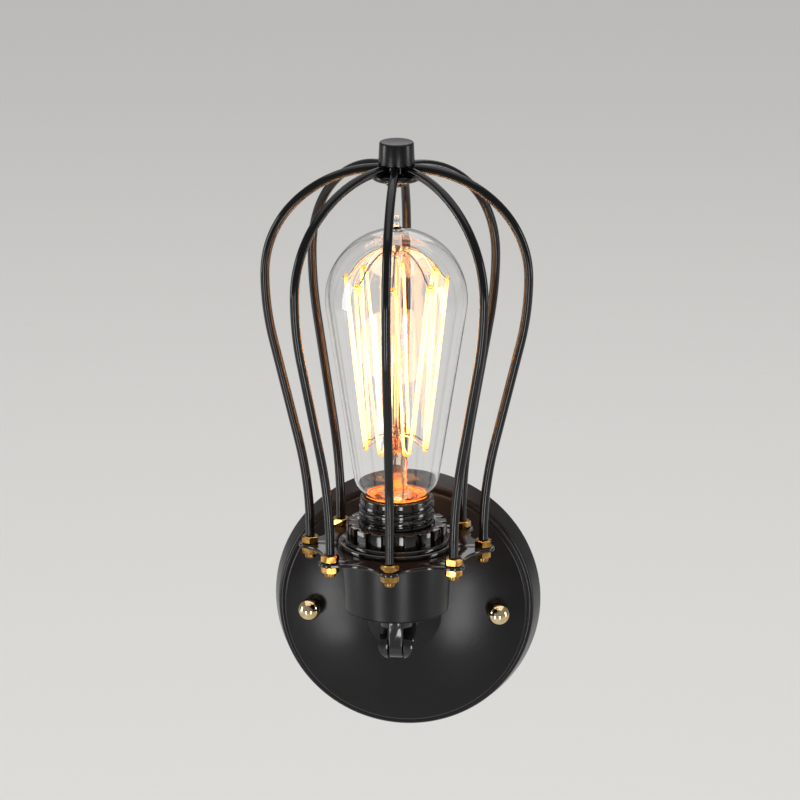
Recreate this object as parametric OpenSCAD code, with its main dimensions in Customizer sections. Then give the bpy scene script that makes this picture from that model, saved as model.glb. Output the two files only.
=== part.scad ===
// Cage wall light: a domed wall plate, a knuckle joint, a lampholder cup, and eight bent wires
// round a squirrel-cage filament bulb.
// Origin: centre of the wall plate on the wall plane. The wall is Y = 0, the light stands out
// towards -Y, and +Z is up. Depths named "depth" or "out" are counted from the wall.

/* [Wall plate] */
// Diameter of the plate where it meets the wall
plate_d = 120; // [112:1:130]
// Thickness of the spun sheet
plate_t = 1.2; // [0.8:0.1:1.6]
// Depth of the crown of the dome, from the wall
plate_depth = 25.5; // [23:0.5:27]
// Radius of the ball that the dome is cut from
dome_ball_r = 143; // [130:1:170]
// How far the edge of the dome is drawn in from the plate's rim
dome_inset = 5.4; // [4.5:0.1:7]
// Radius of the rolled edge of the dome
dome_edge_r = 1.7; // [1.6:0.1:2.5]
// Depth of the step between the skirt and the dome
skirt_depth = 12.2; // [11:0.1:12.6]
// Radius of the skirt's shoulder
shoulder_r = 2; // [1.6:0.1:2.6]
// How far the skirt leans in from the rim to its shoulder
skirt_lean = 2.4; // [1.5:0.1:2.6]

/* [Wall bracket] */
// Distance between the two studs that hold the plate
stud_spacing = 85; // [82:0.5:88]
// Width of the strap
bracket_w = 18; // [17:0.5:24]
// Thickness of the strap
bracket_t = 1.6; // [1.2:0.1:2]
// Length of the strap
bracket_len = 100; // [96:1:104]
// Length of the middle of the strap that lies on the wall
bracket_flat = 60; // [56:1:62]
// Height of the strap's raised ends off the wall
bracket_rise = 3; // [2.8:0.1:4]
// Distance between the middles of the two wall-screw slots
slot_spacing = 44; // [42:0.5:46]
// Width of a wall-screw slot
slot_w = 4.6; // [4:0.1:5]
// Length of a wall-screw slot, end to end
slot_len = 10; // [8:0.5:11]
// Diameter of the hole that the house cable comes through
cable_hole_d = 16; // [12:0.5:16]
// Diameter of the ball-shaped cap nuts
ball_nut_d = 10; // [9:0.5:12]

/* [Stem and knuckle] */
// Distance of the lamp's axis from the wall
lamp_out = 65; // [64:0.5:80]
// Diameter of the threaded lamp tube
tube_d = 10; // [9:0.5:10.5]
// Bore of the threaded lamp tube
tube_bore = 7; // [6:0.5:7.5]
// Diameter of the flange on the crown of the plate
flange_d = 34; // [28:1:40]
// Height of the flange above the crown of the plate
flange_h = 4.5; // [4:0.5:6]
// Diameter of the plain sleeve over the tube
sleeve_d = 13.6; // [12:0.2:14.6]
// Diameter of the round bar that the knuckle is turned from
knuckle_d = 14.7; // [14:0.1:17]
// Length of the fork behind its slot
fork_shank = 11; // [9:0.5:13]
// Thickness of the tongue
tongue_t = 6.8; // [6:0.1:7.2]
// Diameter of the knuckle's screw
knuckle_screw_d = 4; // [3:0.5:4]

/* [Lampholder] */
// Diameter of the cup
cup_d = 47.2; // [46:0.1:50]
// Thickness of the cup's sheet
cup_t = 1; // [0.8:0.1:1.4]
// Height of the cup's floor above the pivot
cup_z = 15; // [14:0.5:18]
// Height of the cup's rim above its floor
cup_h = 28.6; // [28:0.1:31]
// Radius of the cup's bottom edge
cup_edge_r = 1.8; // [1.2:0.1:3]
// Diameter of the lampholder over its thread
holder_d = 39; // [38.4:0.1:39.6]
// Height of the lampholder's mouth above the cup's rim
holder_rise = 22.8; // [21:0.1:25]
// Pitch of the thread ridges on the lampholder
holder_pitch = 2.5; // [2.2:0.1:3]
// Depth of the thread ridges on the lampholder
holder_ridge = 0.9; // [0.6:0.1:1]
// Diameter of the shade ring over its lugs
shade_ring_d = 46.6; // [45:0.1:48]
// Height of the shade ring
shade_ring_h = 11.5; // [9:0.5:13]
// Number of lugs round the shade ring
shade_ring_lugs = 18; // [12:1:20]

/* [Cage] */
// Number of wires
wires = 8; // [8:1:8]
// Diameter of a wire
wire_d = 4; // [3:0.1:4.2]
// Diameter of the circle on which the wires stand
wire_circle_d = 76; // [74:0.5:80]
// Thickness of the scalloped ring
ring_t = 1.6; // [1.2:0.1:2]
// Radius of a lobe of the ring round its wire
lobe_r = 5; // [4.5:0.1:6]
// Least radius of the ring, in a scallop
scallop_r = 34.8; // [33:0.1:36]
// Height of the straight foot of a wire above the ring
foot_h = 5.4; // [5:0.1:9]
// Radius of the outward bend above the foot
foot_bend_r = 180; // [150:5:200]
// Angle at which the wires lean outwards
lean = 13.5; // [11:0.5:14]
// Length of the straight, leaning stretch
lean_len = 46; // [40:1:50]
// Radius of the bend back to upright
belly_bend_r = 128; // [110:2:140]
// Radius of the shoulder bend
shoulder_bend_r = 45.5; // [42:0.5:50]
// Angle of the shoulder bend
shoulder_bend = 41.5; // [40:0.5:44]
// Radius of the last bend, into the hub
crown_bend_r = 53; // [48:0.5:53]
// Width of a cage nut across its flats
nut_af = 7; // [6.5:0.1:8]
// Height of a cage nut
nut_h = 3.2; // [2.4:0.1:4]
// Length of thread left below the lower nuts
thread_tail = 1.6; // [0.5:0.1:3]
// Diameter of the disc under the wires
hub_disc_d = 22; // [20:0.5:26]
// Thickness of the disc under the wires
hub_disc_t = 3; // [2:0.1:4]
// Diameter of the knob on top
knob_d = 14.6; // [14:0.1:18]
// Height of the knob on top
knob_h = 9.5; // [8:0.5:12]

/* [Bulb] */
// Largest diameter of the glass
bulb_d = 62; // [58:0.5:66]
// Height of the middle of the round top above the lampholder's mouth
bulb_belly = 90.6; // [88:0.2:94]
// Angle of the glass's taper
bulb_taper = 9; // [8:0.5:9.5]
// Radius of the round that draws the glass in to its neck
bulb_neck_round = 10; // [9:0.5:11]
// Height of that round's centre above the lampholder's mouth
bulb_neck_z = 10.8; // [10:0.2:12]
// Thickness of the glass
glass_t = 0.8; // [0.6:0.1:1]
// Diameter of the neck inside the screw cap
neck_d = 25.6; // [25:0.1:25.8]
// Crest diameter of the screw cap's thread
cap_d = 26.4; // [26.2:0.05:26.6]
// Pitch of the screw cap's thread
cap_pitch = 3.63; // [3.5:0.01:3.7]
// Diameter of the cap's collar, where it opens round the glass
cap_collar_d = 28.2; // [27.8:0.1:29]
// Height of the collar above the lampholder's mouth
cap_collar_rise = 2.1; // [1.6:0.1:2.2]
// Number of strands of the filament
strands = 16; // [12:2:20]
// Diameter of a strand
strand_d = 0.7; // [0.5:0.1:1]
// Radius of the filament's upper hooks about the axis
hook_top_r = 22; // [19:0.5:24]
// Radius of the filament's lower hooks about the axis
hook_low_r = 14; // [11:0.5:15]
// How far the upper hooks slope down from the rod to the filament
hook_top_drop = 9; // [4:0.5:10]
// How far the lower hooks slope down from the rod to the filament
hook_low_drop = 3; // [1:0.5:4]

/* [Hidden] */
$fn = 72;

// Clearances
seat = 0.05;          // between surfaces that sit on each other
bore_gap = 0.05;      // radial, between a shaft or thread and its hole
slot_gap = 0.2;       // each side of the tongue, in the fork

// Wall plate, as a profile of radius against depth
plate_r = plate_d/2;
dome_c = plate_depth - dome_ball_r;
dome_r = plate_r - dome_inset;
dome_edge_x = dome_r - dome_edge_r;
dome_edge_a = asin(dome_edge_x/(dome_ball_r - dome_edge_r));
dome_edge_y = dome_c + (dome_ball_r - dome_edge_r)*cos(dome_edge_a);
shoulder_x = plate_r - skirt_lean - shoulder_r;
shoulder_y = skirt_depth - shoulder_r;
skirt_a = atan(skirt_lean/shoulder_y);

// Studs and cap nuts
stud_d = 4;
stud_head_d = 7;
stud_head_h = 2.2;
stud_reach = 3.6;
ball_seat_d = 7;
ball_seat = dome_at(stud_spacing/2 - ball_seat_d/2, 0) + seat;
ball_c = ball_seat + sqrt(pow(ball_nut_d/2, 2) - pow(ball_seat_d/2, 2));
earth_x = -(cable_hole_d/2 + slot_spacing/2 - slot_len/2)/2;
earth_head_d = 6.4;
earth_head_h = 2.2;
earth_d = 3.5;

// Stem
stem_washer_d = 18;
stem_washer_t = 1.2;
lock_nut_af = 14;
lock_nut_h = 3;
tube_tail = 1.2;
washer_top = dome_at(stem_washer_d/2, plate_t) - seat;
flange_top = plate_depth + flange_h;
flange_edge_r = 1;
flange_rim_h = 2.6;

// Knuckle
knuckle_r = knuckle_d/2;
fork_slot_end = lamp_out - knuckle_r - 0.45;
fork_start = fork_slot_end - fork_shank;
fork_socket = 6;
slot_w_fork = tongue_t + 2*slot_gap;
tongue_r = knuckle_r - 0.45;
tongue_chamfer = 0.7;
collar_z = knuckle_r + 1.05;
screw_head_d = knuckle_screw_d + 3;
screw_head_h = 1.8;
screw_head_x = -knuckle_r + 0.15;
screw_slot = 0.9;
lead_d = 2;
lead_x = 1.6;
lead_start = 10;
passage_w = 4.4;

// Lampholder heights
cup_r = cup_d/2;
cup_floor = cup_z + cup_t;
cup_rim = cup_z + cup_h;
holder_r = holder_d/2;
mouth_z = cup_rim + holder_rise;
toothed_washer_d = 18;
toothed_washer_t = 1;
base_z = cup_floor + toothed_washer_t;
base_d = 40;
base_chamfer = 6;
base_boss_h = 7;
ledge_rise = 7;
ledge_z = base_z + base_boss_h + ledge_rise;
ledge_r = 13.8;
base_bore_r = 17.2;
base_rim_h = 9;
base_top = ledge_z + base_rim_h;
insert_t = 3;
insert_boss_h = 3;
insert_boss_r = ledge_r + 0.4;
insert_top = ledge_z + insert_t + insert_boss_h;
sleeve_bore_r = 15.8;
nipple_low = collar_z + 1.1;
nipple_top = base_z + base_boss_h - 0.5;
terminal_x = 9;
terminal_head_d = 5.6;
terminal_head_h = 2;
terminal_d = 3;
leaf_w = 6;
leaf_t = 0.5;

// Shade ring
shade_flange_d = shade_ring_d + 3.4;
shade_flange_h = 1.8;
shade_groove_w = 2.4;
shade_groove = 1.7;
ring_top = cup_rim + ring_t;

// Cage, worked out along one wire from its foot to the hub
wire_r = wire_d/2;
wire_circle_r = wire_circle_d/2;
wire_low = cup_rim - nut_h - thread_tail;
bend_z = ring_top + foot_h;
belly_r = wire_circle_r + (foot_bend_r + belly_bend_r)*(1 - cos(lean)) + lean_len*sin(lean);
belly_z = bend_z + (foot_bend_r + belly_bend_r)*sin(lean) + lean_len*cos(lean);
wire_end_x = belly_r - shoulder_bend_r*(1 - cos(shoulder_bend)) - crown_bend_r*cos(shoulder_bend);
hub_z = belly_z + shoulder_bend_r*sin(shoulder_bend) + crown_bend_r*(1 - sin(shoulder_bend));
wire_stop_r = wire_r/sin(180/wires) + 0.3;
wire_sides = 12;
hub_screw_d = 5;
hub_screw_head_d = 9;
hub_screw_head_h = 2.6;
knob_edge = 0.8;
knob_bore = 7;
hub_disc_z = hub_z - wire_r - seat - hub_disc_t;

// Scallops of the ring: arcs that run into the lobes
half_step = 180/wires;
scallop_arc_r = (pow(scallop_r, 2) + pow(wire_circle_r, 2)
    - 2*wire_circle_r*scallop_r*cos(half_step) - pow(lobe_r, 2))
    / (2*(lobe_r + wire_circle_r*cos(half_step) - scallop_r));
scallop_c = scallop_r + scallop_arc_r;
lobe_half = atan2(scallop_c*sin(half_step), scallop_c*cos(half_step) - wire_circle_r);

// Bulb
bulb_r = bulb_d/2;
bulb_z = mouth_z + bulb_belly;
neck_r = neck_d/2;
neck_round_z = mouth_z + bulb_neck_z;
neck_round_x = (bulb_r - bulb_neck_round - (bulb_z - neck_round_z)*sin(bulb_taper))/cos(bulb_taper);
neck_leaves_z = neck_round_z - sqrt(pow(bulb_neck_round, 2) - pow(neck_r - neck_round_x, 2));
pip_foot_r = 3.2;
pip_r = 1.6;
pip_h = 6.3;
cap_top = mouth_z;
cap_h = 22.6;
cap_t = 0.3;
cap_low = cap_top - cap_h;
cap_low_r = 9.5;
cap_turns = 4;
cap_thread_z = cap_low + 2.6;
thread_depth = 0.9;
cap_contact_r = 4.75;
cap_contact_t = 1;
cap_insulator_h = 2.8;
cap_bottom = cap_low - cap_insulator_h - cap_contact_t/2;
glass_foot = cap_top - 0.4;
collar_top = cap_top + cap_collar_rise;
glass_at_collar = neck_round_x + sqrt(max(0, pow(bulb_neck_round, 2) - pow(neck_round_z - collar_top, 2)));
collar_r = max(cap_collar_d/2, glass_at_collar + cap_t + seat);
collar_lip = 0.6;
cap_plain_z = cap_thread_z + cap_turns*cap_pitch + 1;
cement_h = 3;
cement_low = glass_foot - seat - cement_h;
cement_skin_top = min(collar_top - 0.8, neck_leaves_z - seat);
shell_gap = 0.35;
shell_t = 0.4;

// Filament and its carrier
flare_t = 1.5;
stem_tube_r = 4;
stem_rise = 12;
stem_top = neck_round_z + stem_rise;
rod_r = 1.5;
rod_rise = 21;
rod_top = bulb_z + rod_rise;
button_r = 2.8;
hook_top_rise = 9;
hook_top_z = bulb_z + hook_top_rise;
hook_low_rise = 14;
hook_low_z = neck_round_z + hook_low_rise;
hook_wire_d = 0.7;
hook_bend_r = 1.3;
bend_steps = 4;
strand_sides = 6;
lead_in_x = 2;
lead_in_d = 0.8;

// ---- helpers ----

function arc(c, r, from, to, n) = [for (i = [0:n]) let (a = from + (to - from)*i/n) c + r*[cos(a), sin(a)]];
function reversed(p) = [for (i = [len(p) - 1:-1:0]) p[i]];
// Depth of the dome's surface at a radius; inset is 0 outside and the sheet's thickness inside
function dome_at(r, inset) = dome_c + sqrt(pow(dome_ball_r - inset, 2) - r*r);
function on_circle(r, a, z) = [r*cos(a), r*sin(a), z];
// Radius along a rounded thread at a height above its start
function thread_r(crest, h) = crest - thread_depth/2 + thread_depth/2*cos(360*h/cap_pitch + 180);

// Z points out of the wall, Y points up
module out_of_wall() rotate([90, 0, 0]) children();
module on_lamp_axis() translate([0, -lamp_out, 0]) children();
module around(n, r) for (i = [0:n - 1]) rotate([0, 0, i*360/n]) translate([r, 0, 0]) children();
module tube(r_out, r_in, h) difference() {
    cylinder(h = h, r = r_out);
    translate([0, 0, -1]) cylinder(h = h + 2, r = r_in);
}
// A hexagon nut with its corners turned off at both ends
module hex_nut(af, h, bore_r) difference() {
    intersection() {
        cylinder(h = h, r = af/2/cos(30), $fn = 6);
        rotate_extrude() polygon([[0, 0], [af/2, 0], [af/2 + h*0.3, h*0.18],
            [af/2 + h*0.3, h*0.82], [af/2, h], [0, h]]);
    }
    translate([0, 0, -1]) cylinder(h = h + 2, r = bore_r);
}

// A round bar along the points p. side is a direction square to a route that lies in one plane;
// without it, the bar's sides are set by the lamp's axis.
function unit(v) = v/norm(v);
function heading(p, i) = unit(p[min(i + 1, len(p) - 1)] - p[max(i - 1, 0)]);
module sweep(p, r, sides, side = undef) {
    n = len(p);
    rings = [for (i = [0:n - 1]) let (t = heading(p, i),
        u = side == undef ? unit(cross(t, unit([p[i][0], p[i][1], 0]))) : side, w = cross(u, t))
        for (k = [0:sides - 1]) p[i] + r*(cos(360*k/sides)*u + sin(360*k/sides)*w)];
    polyhedron(points = rings, faces = concat(
        [[for (k = [sides - 1:-1:0]) k]], [[for (k = [0:sides - 1]) (n - 1)*sides + k]],
        [for (i = [0:n - 2], k = [0:sides - 1]) let (a = i*sides + k, b = i*sides + (k + 1) % sides)
            each [[a, b, b + sides], [a, b + sides, a + sides]]]));
}
// Points of a profile of radius against height, set up in the XZ plane
function upright(p) = [for (q = p) [q[0], 0, q[1]]];
function without_first(p) = [for (i = [1:len(p) - 1]) p[i]];

// ---- wall plate and its fixings ----

function plate_line(inset) = concat(
    [[plate_r - inset, 0]],
    arc([shoulder_x, shoulder_y], shoulder_r - inset, skirt_a, 90, 6),
    [[dome_r - inset, skirt_depth - inset]],
    arc([dome_edge_x, dome_edge_y], dome_edge_r - inset, 0, 90 - dome_edge_a, 6),
    arc([0, dome_c], dome_ball_r - inset, 90 - dome_edge_a, 90, 14));

module back_plate() color("#1b1b1d") out_of_wall() difference() {
    rotate_extrude($fn = 120) polygon(concat(plate_line(0), reversed(plate_line(plate_t))));
    translate([0, 0, plate_depth/2]) cylinder(h = plate_depth, r = tube_d/2 + 0.2);
    for (x = [-1, 1]) translate([x*stud_spacing/2, 0, bracket_rise])
        cylinder(h = plate_depth, r = stud_d/2 + 0.3);
}

module slot_cut(len, w, h) {
    for (x = [-1, 1]) translate([x*(len - w)/2, 0, 0]) cylinder(h = h, r = w/2);
    translate([-(len - w)/2, -w/2, 0]) cube([len - w, w, h]);
}

module wall_bracket() color("#b9bcc0") out_of_wall() difference() {
    rotate([90, 0, 0]) translate([0, 0, -bracket_w/2]) linear_extrude(bracket_w) polygon(concat(
        reversed(bracket_line(0, -1)), bracket_line(0, 1),
        reversed(bracket_line(bracket_t, 1)), bracket_line(bracket_t, -1)));
    translate([0, 0, -1]) {
        cylinder(h = bracket_t + 2, r = cable_hole_d/2);
        for (x = [-1, 1]) translate([x*slot_spacing/2, 0, 0]) slot_cut(slot_len, slot_w, bracket_t + 2);
        for (x = [-1, 1]) translate([x*stud_spacing/2, 0, 0])
            cylinder(h = bracket_rise + bracket_t + 2, r = stud_d/2 + bore_gap);
        translate([earth_x, 0, 0]) cylinder(h = bracket_t + 2, r = earth_d/2 + bore_gap);
    }
}
// One face of the strap, from its first bend to its end
function bracket_line(lift, side) = [[side*(bracket_flat/2 - lift*0.4), lift],
    [side*(bracket_flat/2 - lift*0.4 + bracket_rise), bracket_rise + lift],
    [side*bracket_len/2, bracket_rise + lift]];

module bracket_studs() color("#b9bcc0") out_of_wall()
    for (x = [-1, 1]) translate([x*stud_spacing/2, 0, 0]) {
        translate([0, 0, bracket_rise - stud_head_h]) cylinder(h = stud_head_h, r = stud_head_d/2);
        translate([0, 0, bracket_rise]) cylinder(h = ball_seat + stud_reach - bracket_rise, r = stud_d/2);
    }

module ball_nuts() color("#c9a45a") out_of_wall()
    for (x = [-1, 1]) translate([x*stud_spacing/2, 0, 0]) difference() {
        translate([0, 0, ball_c]) sphere(r = ball_nut_d/2);
        cylinder(h = ball_seat, r = ball_nut_d);
        translate([0, 0, ball_seat - 1]) cylinder(h = stud_reach + 1.2, r = stud_d/2 + bore_gap);
    }

module earth_screw() color("#c9a45a") out_of_wall() translate([earth_x, 0, 0]) difference() {
    union() {
        translate([0, 0, bracket_t]) cylinder(h = earth_head_h, r = earth_head_d/2);
        translate([0, 0, 0.1]) cylinder(h = bracket_t, r = earth_d/2);
    }
    translate([-earth_head_d/2 - 1, -screw_slot/2, bracket_t + earth_head_h - screw_slot])
        cube([earth_head_d + 2, screw_slot, screw_slot + 1]);
}

// ---- stem ----

module stem_tube() color("#b9bcc0") out_of_wall()
    translate([0, 0, washer_top - stem_washer_t - lock_nut_h - tube_tail])
        tube(tube_d/2, tube_bore/2, fork_start + fork_socket - bore_gap
            - (washer_top - stem_washer_t - lock_nut_h - tube_tail));

module stem_washer() color("#b9bcc0") out_of_wall() translate([0, 0, washer_top - stem_washer_t])
    tube(stem_washer_d/2, tube_d/2 + bore_gap, stem_washer_t);

module stem_lock_nut() color("#b9bcc0") out_of_wall()
    translate([0, 0, washer_top - stem_washer_t - lock_nut_h])
        hex_nut(lock_nut_af, lock_nut_h, tube_d/2 + bore_gap);

// Its underside follows the dome
module stem_flange() color("#1b1b1d") out_of_wall() rotate_extrude() polygon(concat(
    [[tube_d/2 + bore_gap, flange_top]],
    [[tube_d/2 + bore_gap, dome_at(tube_d/2, 0) + seat]],
    reversed(arc([0, dome_c], dome_ball_r + seat, 90 - asin(flange_d/2/dome_ball_r), 88, 6)),
    arc([flange_d/2 - flange_edge_r, plate_depth + flange_rim_h - flange_edge_r], flange_edge_r, 0, 70, 4),
    [[sleeve_d/2 + 1.6, flange_top - 0.5], [sleeve_d/2 + 0.8, flange_top]]));

module stem_sleeve() color("#1b1b1d") out_of_wall() translate([0, 0, flange_top])
    tube(sleeve_d/2, tube_d/2 + bore_gap, fork_start - flange_top);

module supply_leads() color("#7a3b22") out_of_wall() for (x = [-1, 1])
    translate([x*lead_x, 0, lead_start]) cylinder(h = fork_slot_end - 0.8 - lead_start, r = lead_d/2);

// ---- knuckle ----

// A cylinder along X through the pivot
module pivot_cylinder(r, x0, x1)
    translate([x0, -lamp_out, 0]) rotate([0, 90, 0]) cylinder(h = x1 - x0, r = r);

module knuckle_fork() color("#151517") difference() {
    intersection() {
        out_of_wall() translate([0, 0, fork_start])
            cylinder(h = lamp_out + knuckle_d - fork_start, r = knuckle_r);
        union() {
            pivot_cylinder(knuckle_r, -knuckle_d, knuckle_d);
            translate([-knuckle_d, -lamp_out, -knuckle_d]) cube([2*knuckle_d, lamp_out, 2*knuckle_d]);
        }
    }
    translate([-slot_w_fork/2, -lamp_out - knuckle_d, -knuckle_d])
        cube([slot_w_fork, lamp_out + knuckle_d - fork_slot_end, 2*knuckle_d]);
    pivot_cylinder(knuckle_screw_d/2 + bore_gap, -knuckle_d, knuckle_d);
    pivot_cylinder(screw_head_d/2 + bore_gap, -knuckle_d, screw_head_x + screw_head_h);
    out_of_wall() translate([0, 0, fork_start - 1]) {
        cylinder(h = fork_socket + 1, r = tube_d/2 + bore_gap);
        cylinder(h = fork_shank + 2, r = tube_bore/2);
    }
}

module knuckle_screw() color("#8f8f92") difference() {
    union() {
        pivot_cylinder(screw_head_d/2, screw_head_x, screw_head_x + screw_head_h);
        pivot_cylinder(knuckle_screw_d/2, screw_head_x + screw_head_h, knuckle_r - 0.4);
    }
    translate([screw_head_x - 1, -lamp_out - screw_head_d, -screw_slot/2])
        cube([1 + screw_slot, 2*screw_head_d, screw_slot]);
}

module knuckle_tongue() color("#151517") difference() {
    union() {
        pivot_cylinder(tongue_r, -tongue_t/2 + tongue_chamfer, tongue_t/2 - tongue_chamfer);
        for (s = [-1, 1]) translate([s*tongue_t/2, -lamp_out, 0]) rotate([0, -s*90, 0])
            cylinder(h = tongue_chamfer, r1 = tongue_r - tongue_chamfer, r2 = tongue_r);
        intersection() {
            translate([-tongue_t/2, -lamp_out - tongue_r, 0]) cube([tongue_t, 2*tongue_r, collar_z]);
            on_lamp_axis() cylinder(h = collar_z, r = knuckle_r);
        }
        on_lamp_axis() translate([0, 0, collar_z]) cylinder(h = cup_z - collar_z, r = knuckle_r);
    }
    pivot_cylinder(knuckle_screw_d/2 + bore_gap, -knuckle_d, knuckle_d);
    on_lamp_axis() translate([0, 0, nipple_low - bore_gap]) cylinder(h = cup_z, r = tube_d/2 + bore_gap);
    translate([-passage_w/2, -lamp_out - passage_w/2, knuckle_screw_d/2 + 1.6])
        cube([passage_w, knuckle_d, nipple_low - knuckle_screw_d/2 - 1.6]);
}

// ---- lampholder ----

module cup_nipple() color("#b9bcc0") on_lamp_axis() translate([0, 0, nipple_low])
    tube(tube_d/2, tube_bore/2, nipple_top - nipple_low);

module toothed_washer() color("#b9bcc0") on_lamp_axis() translate([0, 0, cup_floor]) {
    tube(toothed_washer_d/2 - 1.6, tube_d/2 + bore_gap, toothed_washer_t);
    difference() {
        for (i = [0:11]) rotate([0, 0, i*30]) translate([0, -1, 0])
            cube([toothed_washer_d/2, 2, toothed_washer_t]);
        translate([0, 0, -1]) cylinder(h = toothed_washer_t + 2, r = tube_d/2 + 1);
    }
}

function cup_line(inset) = concat(
    [[tube_d/2 + bore_gap, cup_z + inset]],
    arc([cup_r - cup_edge_r, cup_z + cup_edge_r], cup_edge_r - inset, -90, 0, 6),
    [[cup_r - inset, cup_rim]]);
module lamp_cup() color("#1d1d1f") on_lamp_axis() rotate_extrude($fn = 96)
    polygon(concat(cup_line(0), reversed(cup_line(cup_t))));

module holder_base() color("#0e0e0f") on_lamp_axis() rotate_extrude() polygon([
    [tube_d/2 + bore_gap, base_z], [base_d/2 - base_chamfer, base_z], [base_d/2, base_z + base_chamfer],
    [base_d/2, base_top], [base_bore_r, base_top], [base_bore_r, ledge_z], [ledge_r, ledge_z],
    [ledge_r, base_z + base_boss_h], [tube_d/2 + bore_gap, base_z + base_boss_h]]);

module terminal_insert() color("#e6e0d2") on_lamp_axis() difference() {
    union() {
        translate([0, 0, ledge_z]) cylinder(h = insert_t, r = base_bore_r - 0.1);
        translate([0, 0, ledge_z + insert_t]) cylinder(h = insert_boss_h, r = insert_boss_r);
    }
    for (x = [-1, 1]) translate([x*terminal_x, 0, ledge_z - 1])
        cylinder(h = insert_t + 2, r = terminal_d/2 + bore_gap);
}

module terminal_screws() color("#c9a45a") on_lamp_axis() for (x = [-1, 1]) translate([x*terminal_x, 0, 0]) {
    translate([0, 0, ledge_z - terminal_head_h]) cylinder(h = terminal_head_h, r = terminal_head_d/2);
    translate([0, 0, ledge_z]) cylinder(h = insert_t, r = terminal_d/2);
}

// Two insulated leads, up through the nipple and out to the terminals
lead_turn_r = lead_d*1.5;
lead_end_x = terminal_x - terminal_head_d/2 - lead_d/2 - 0.1;
lead_turn = acos(1 - (lead_end_x - lead_x)/2/lead_turn_r);
lead_path = concat([[lead_x, nipple_low + 0.2]],
    arc([lead_x + lead_turn_r, nipple_top], lead_turn_r, 180, 180 - lead_turn, 4),
    arc([lead_end_x - lead_turn_r, nipple_top + 2*lead_turn_r*sin(lead_turn)], lead_turn_r, -lead_turn, 0, 4),
    [[lead_end_x, ledge_z - 0.1]]);
module lamp_leads() color("#7a3b22") on_lamp_axis() for (s = [0, 180]) rotate([0, 0, s])
    sweep(upright(lead_path), lead_d/2, 8, [0, 1, 0]);

// A sprung leaf under the bulb's centre contact
module centre_contact() color("#c9a45a") on_lamp_axis() {
    rise = cap_bottom - 0.2 - insert_top;
    translate([0, leaf_w/2, insert_top]) rotate([90, 0, 0]) linear_extrude(leaf_w) polygon([
        [-6, 0], [-1, 0], [-1, leaf_t], [-4.6, leaf_t], [-2.5, rise - leaf_t], [3, rise - leaf_t],
        [3, rise], [-3, rise], [-6, leaf_t]]);
}

// The threaded stretch of the screw cap, as crests and roots
function cap_thread(gap) = [for (i = [0:cap_turns*8]) let (h = i*cap_pitch/8)
    [thread_r(cap_d/2, h) + gap, cap_thread_z + h]];

module screw_shell() color("#c9a45a") on_lamp_axis() rotate_extrude() polygon(concat(
    [[8, insert_top + shell_t], [8, insert_top], [cap_d/2 + shell_gap + shell_t, insert_top]],
    [[cap_d/2 + shell_gap + shell_t, cap_thread_z - 1]],
    cap_thread(shell_gap + shell_t), reversed(cap_thread(shell_gap)),
    [[cap_d/2 + shell_gap, cap_thread_z - 1], [cap_d/2 + shell_gap, insert_top + shell_t]]));

// Number of whole ridges between the base and the mouth
ridges = floor((mouth_z - base_top - 1)/holder_pitch);
module holder_sleeve() color("#0e0e0f") on_lamp_axis() rotate_extrude() polygon(concat(
    [[sleeve_bore_r, mouth_z], [sleeve_bore_r, ledge_z + insert_t], [base_bore_r - 0.1, ledge_z + insert_t],
        [base_bore_r - 0.1, base_top], [holder_r - holder_ridge, base_top]],
    [for (i = [0:ridges - 1]) let (z = mouth_z - 1 - (ridges - i)*holder_pitch) each [
        [holder_r - holder_ridge, z + 0.4], [holder_r - 0.2, z + 1], [holder_r, z + holder_pitch/2],
        [holder_r - 0.2, z + holder_pitch - 0.9], [holder_r - holder_ridge, z + holder_pitch - 0.3]]],
    [[holder_r - holder_ridge, mouth_z - 0.5], [holder_r - holder_ridge - 0.5, mouth_z]]));

module shade_ring() color("#0e0e0f") on_lamp_axis() translate([0, 0, ring_top]) difference() {
    rotate_extrude() polygon([[holder_r + bore_gap, 0], [shade_flange_d/2 - 0.5, 0], [shade_flange_d/2, 0.5],
        [shade_flange_d/2, shade_flange_h - 0.5], [shade_flange_d/2 - 0.5, shade_flange_h],
        [shade_ring_d/2, shade_flange_h], [shade_ring_d/2, shade_ring_h - 0.6],
        [shade_ring_d/2 - 0.6, shade_ring_h], [holder_r + bore_gap, shade_ring_h]]);
    around(shade_ring_lugs, shade_ring_d/2 - shade_groove)
        translate([0, -shade_groove_w/2, shade_flange_h + 1])
            cube([shade_ring_d, shade_groove_w, shade_ring_h]);
}

// ---- cage ----

function ring_line() = [for (i = [0:wires - 1]) let (a = i*2*half_step) each concat(
    arc(wire_circle_r*[cos(a), sin(a)], lobe_r, a - lobe_half, a + lobe_half, 8),
    [for (k = [1:7]) let (b = a + lobe_half + 180 + k/8*2*(half_step - lobe_half))
        scallop_c*[cos(a + half_step), sin(a + half_step)] + scallop_arc_r*[cos(b), sin(b)]])];

module cage_ring() color("#0c0c0d") on_lamp_axis() translate([0, 0, cup_rim]) difference() {
    linear_extrude(ring_t) polygon(ring_line());
    translate([0, 0, -1]) cylinder(h = ring_t + 2, r = holder_r + 0.2);
    around(wires, wire_circle_r) translate([0, 0, -1]) cylinder(h = ring_t + 2, r = wire_r + 0.15);
}

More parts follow.
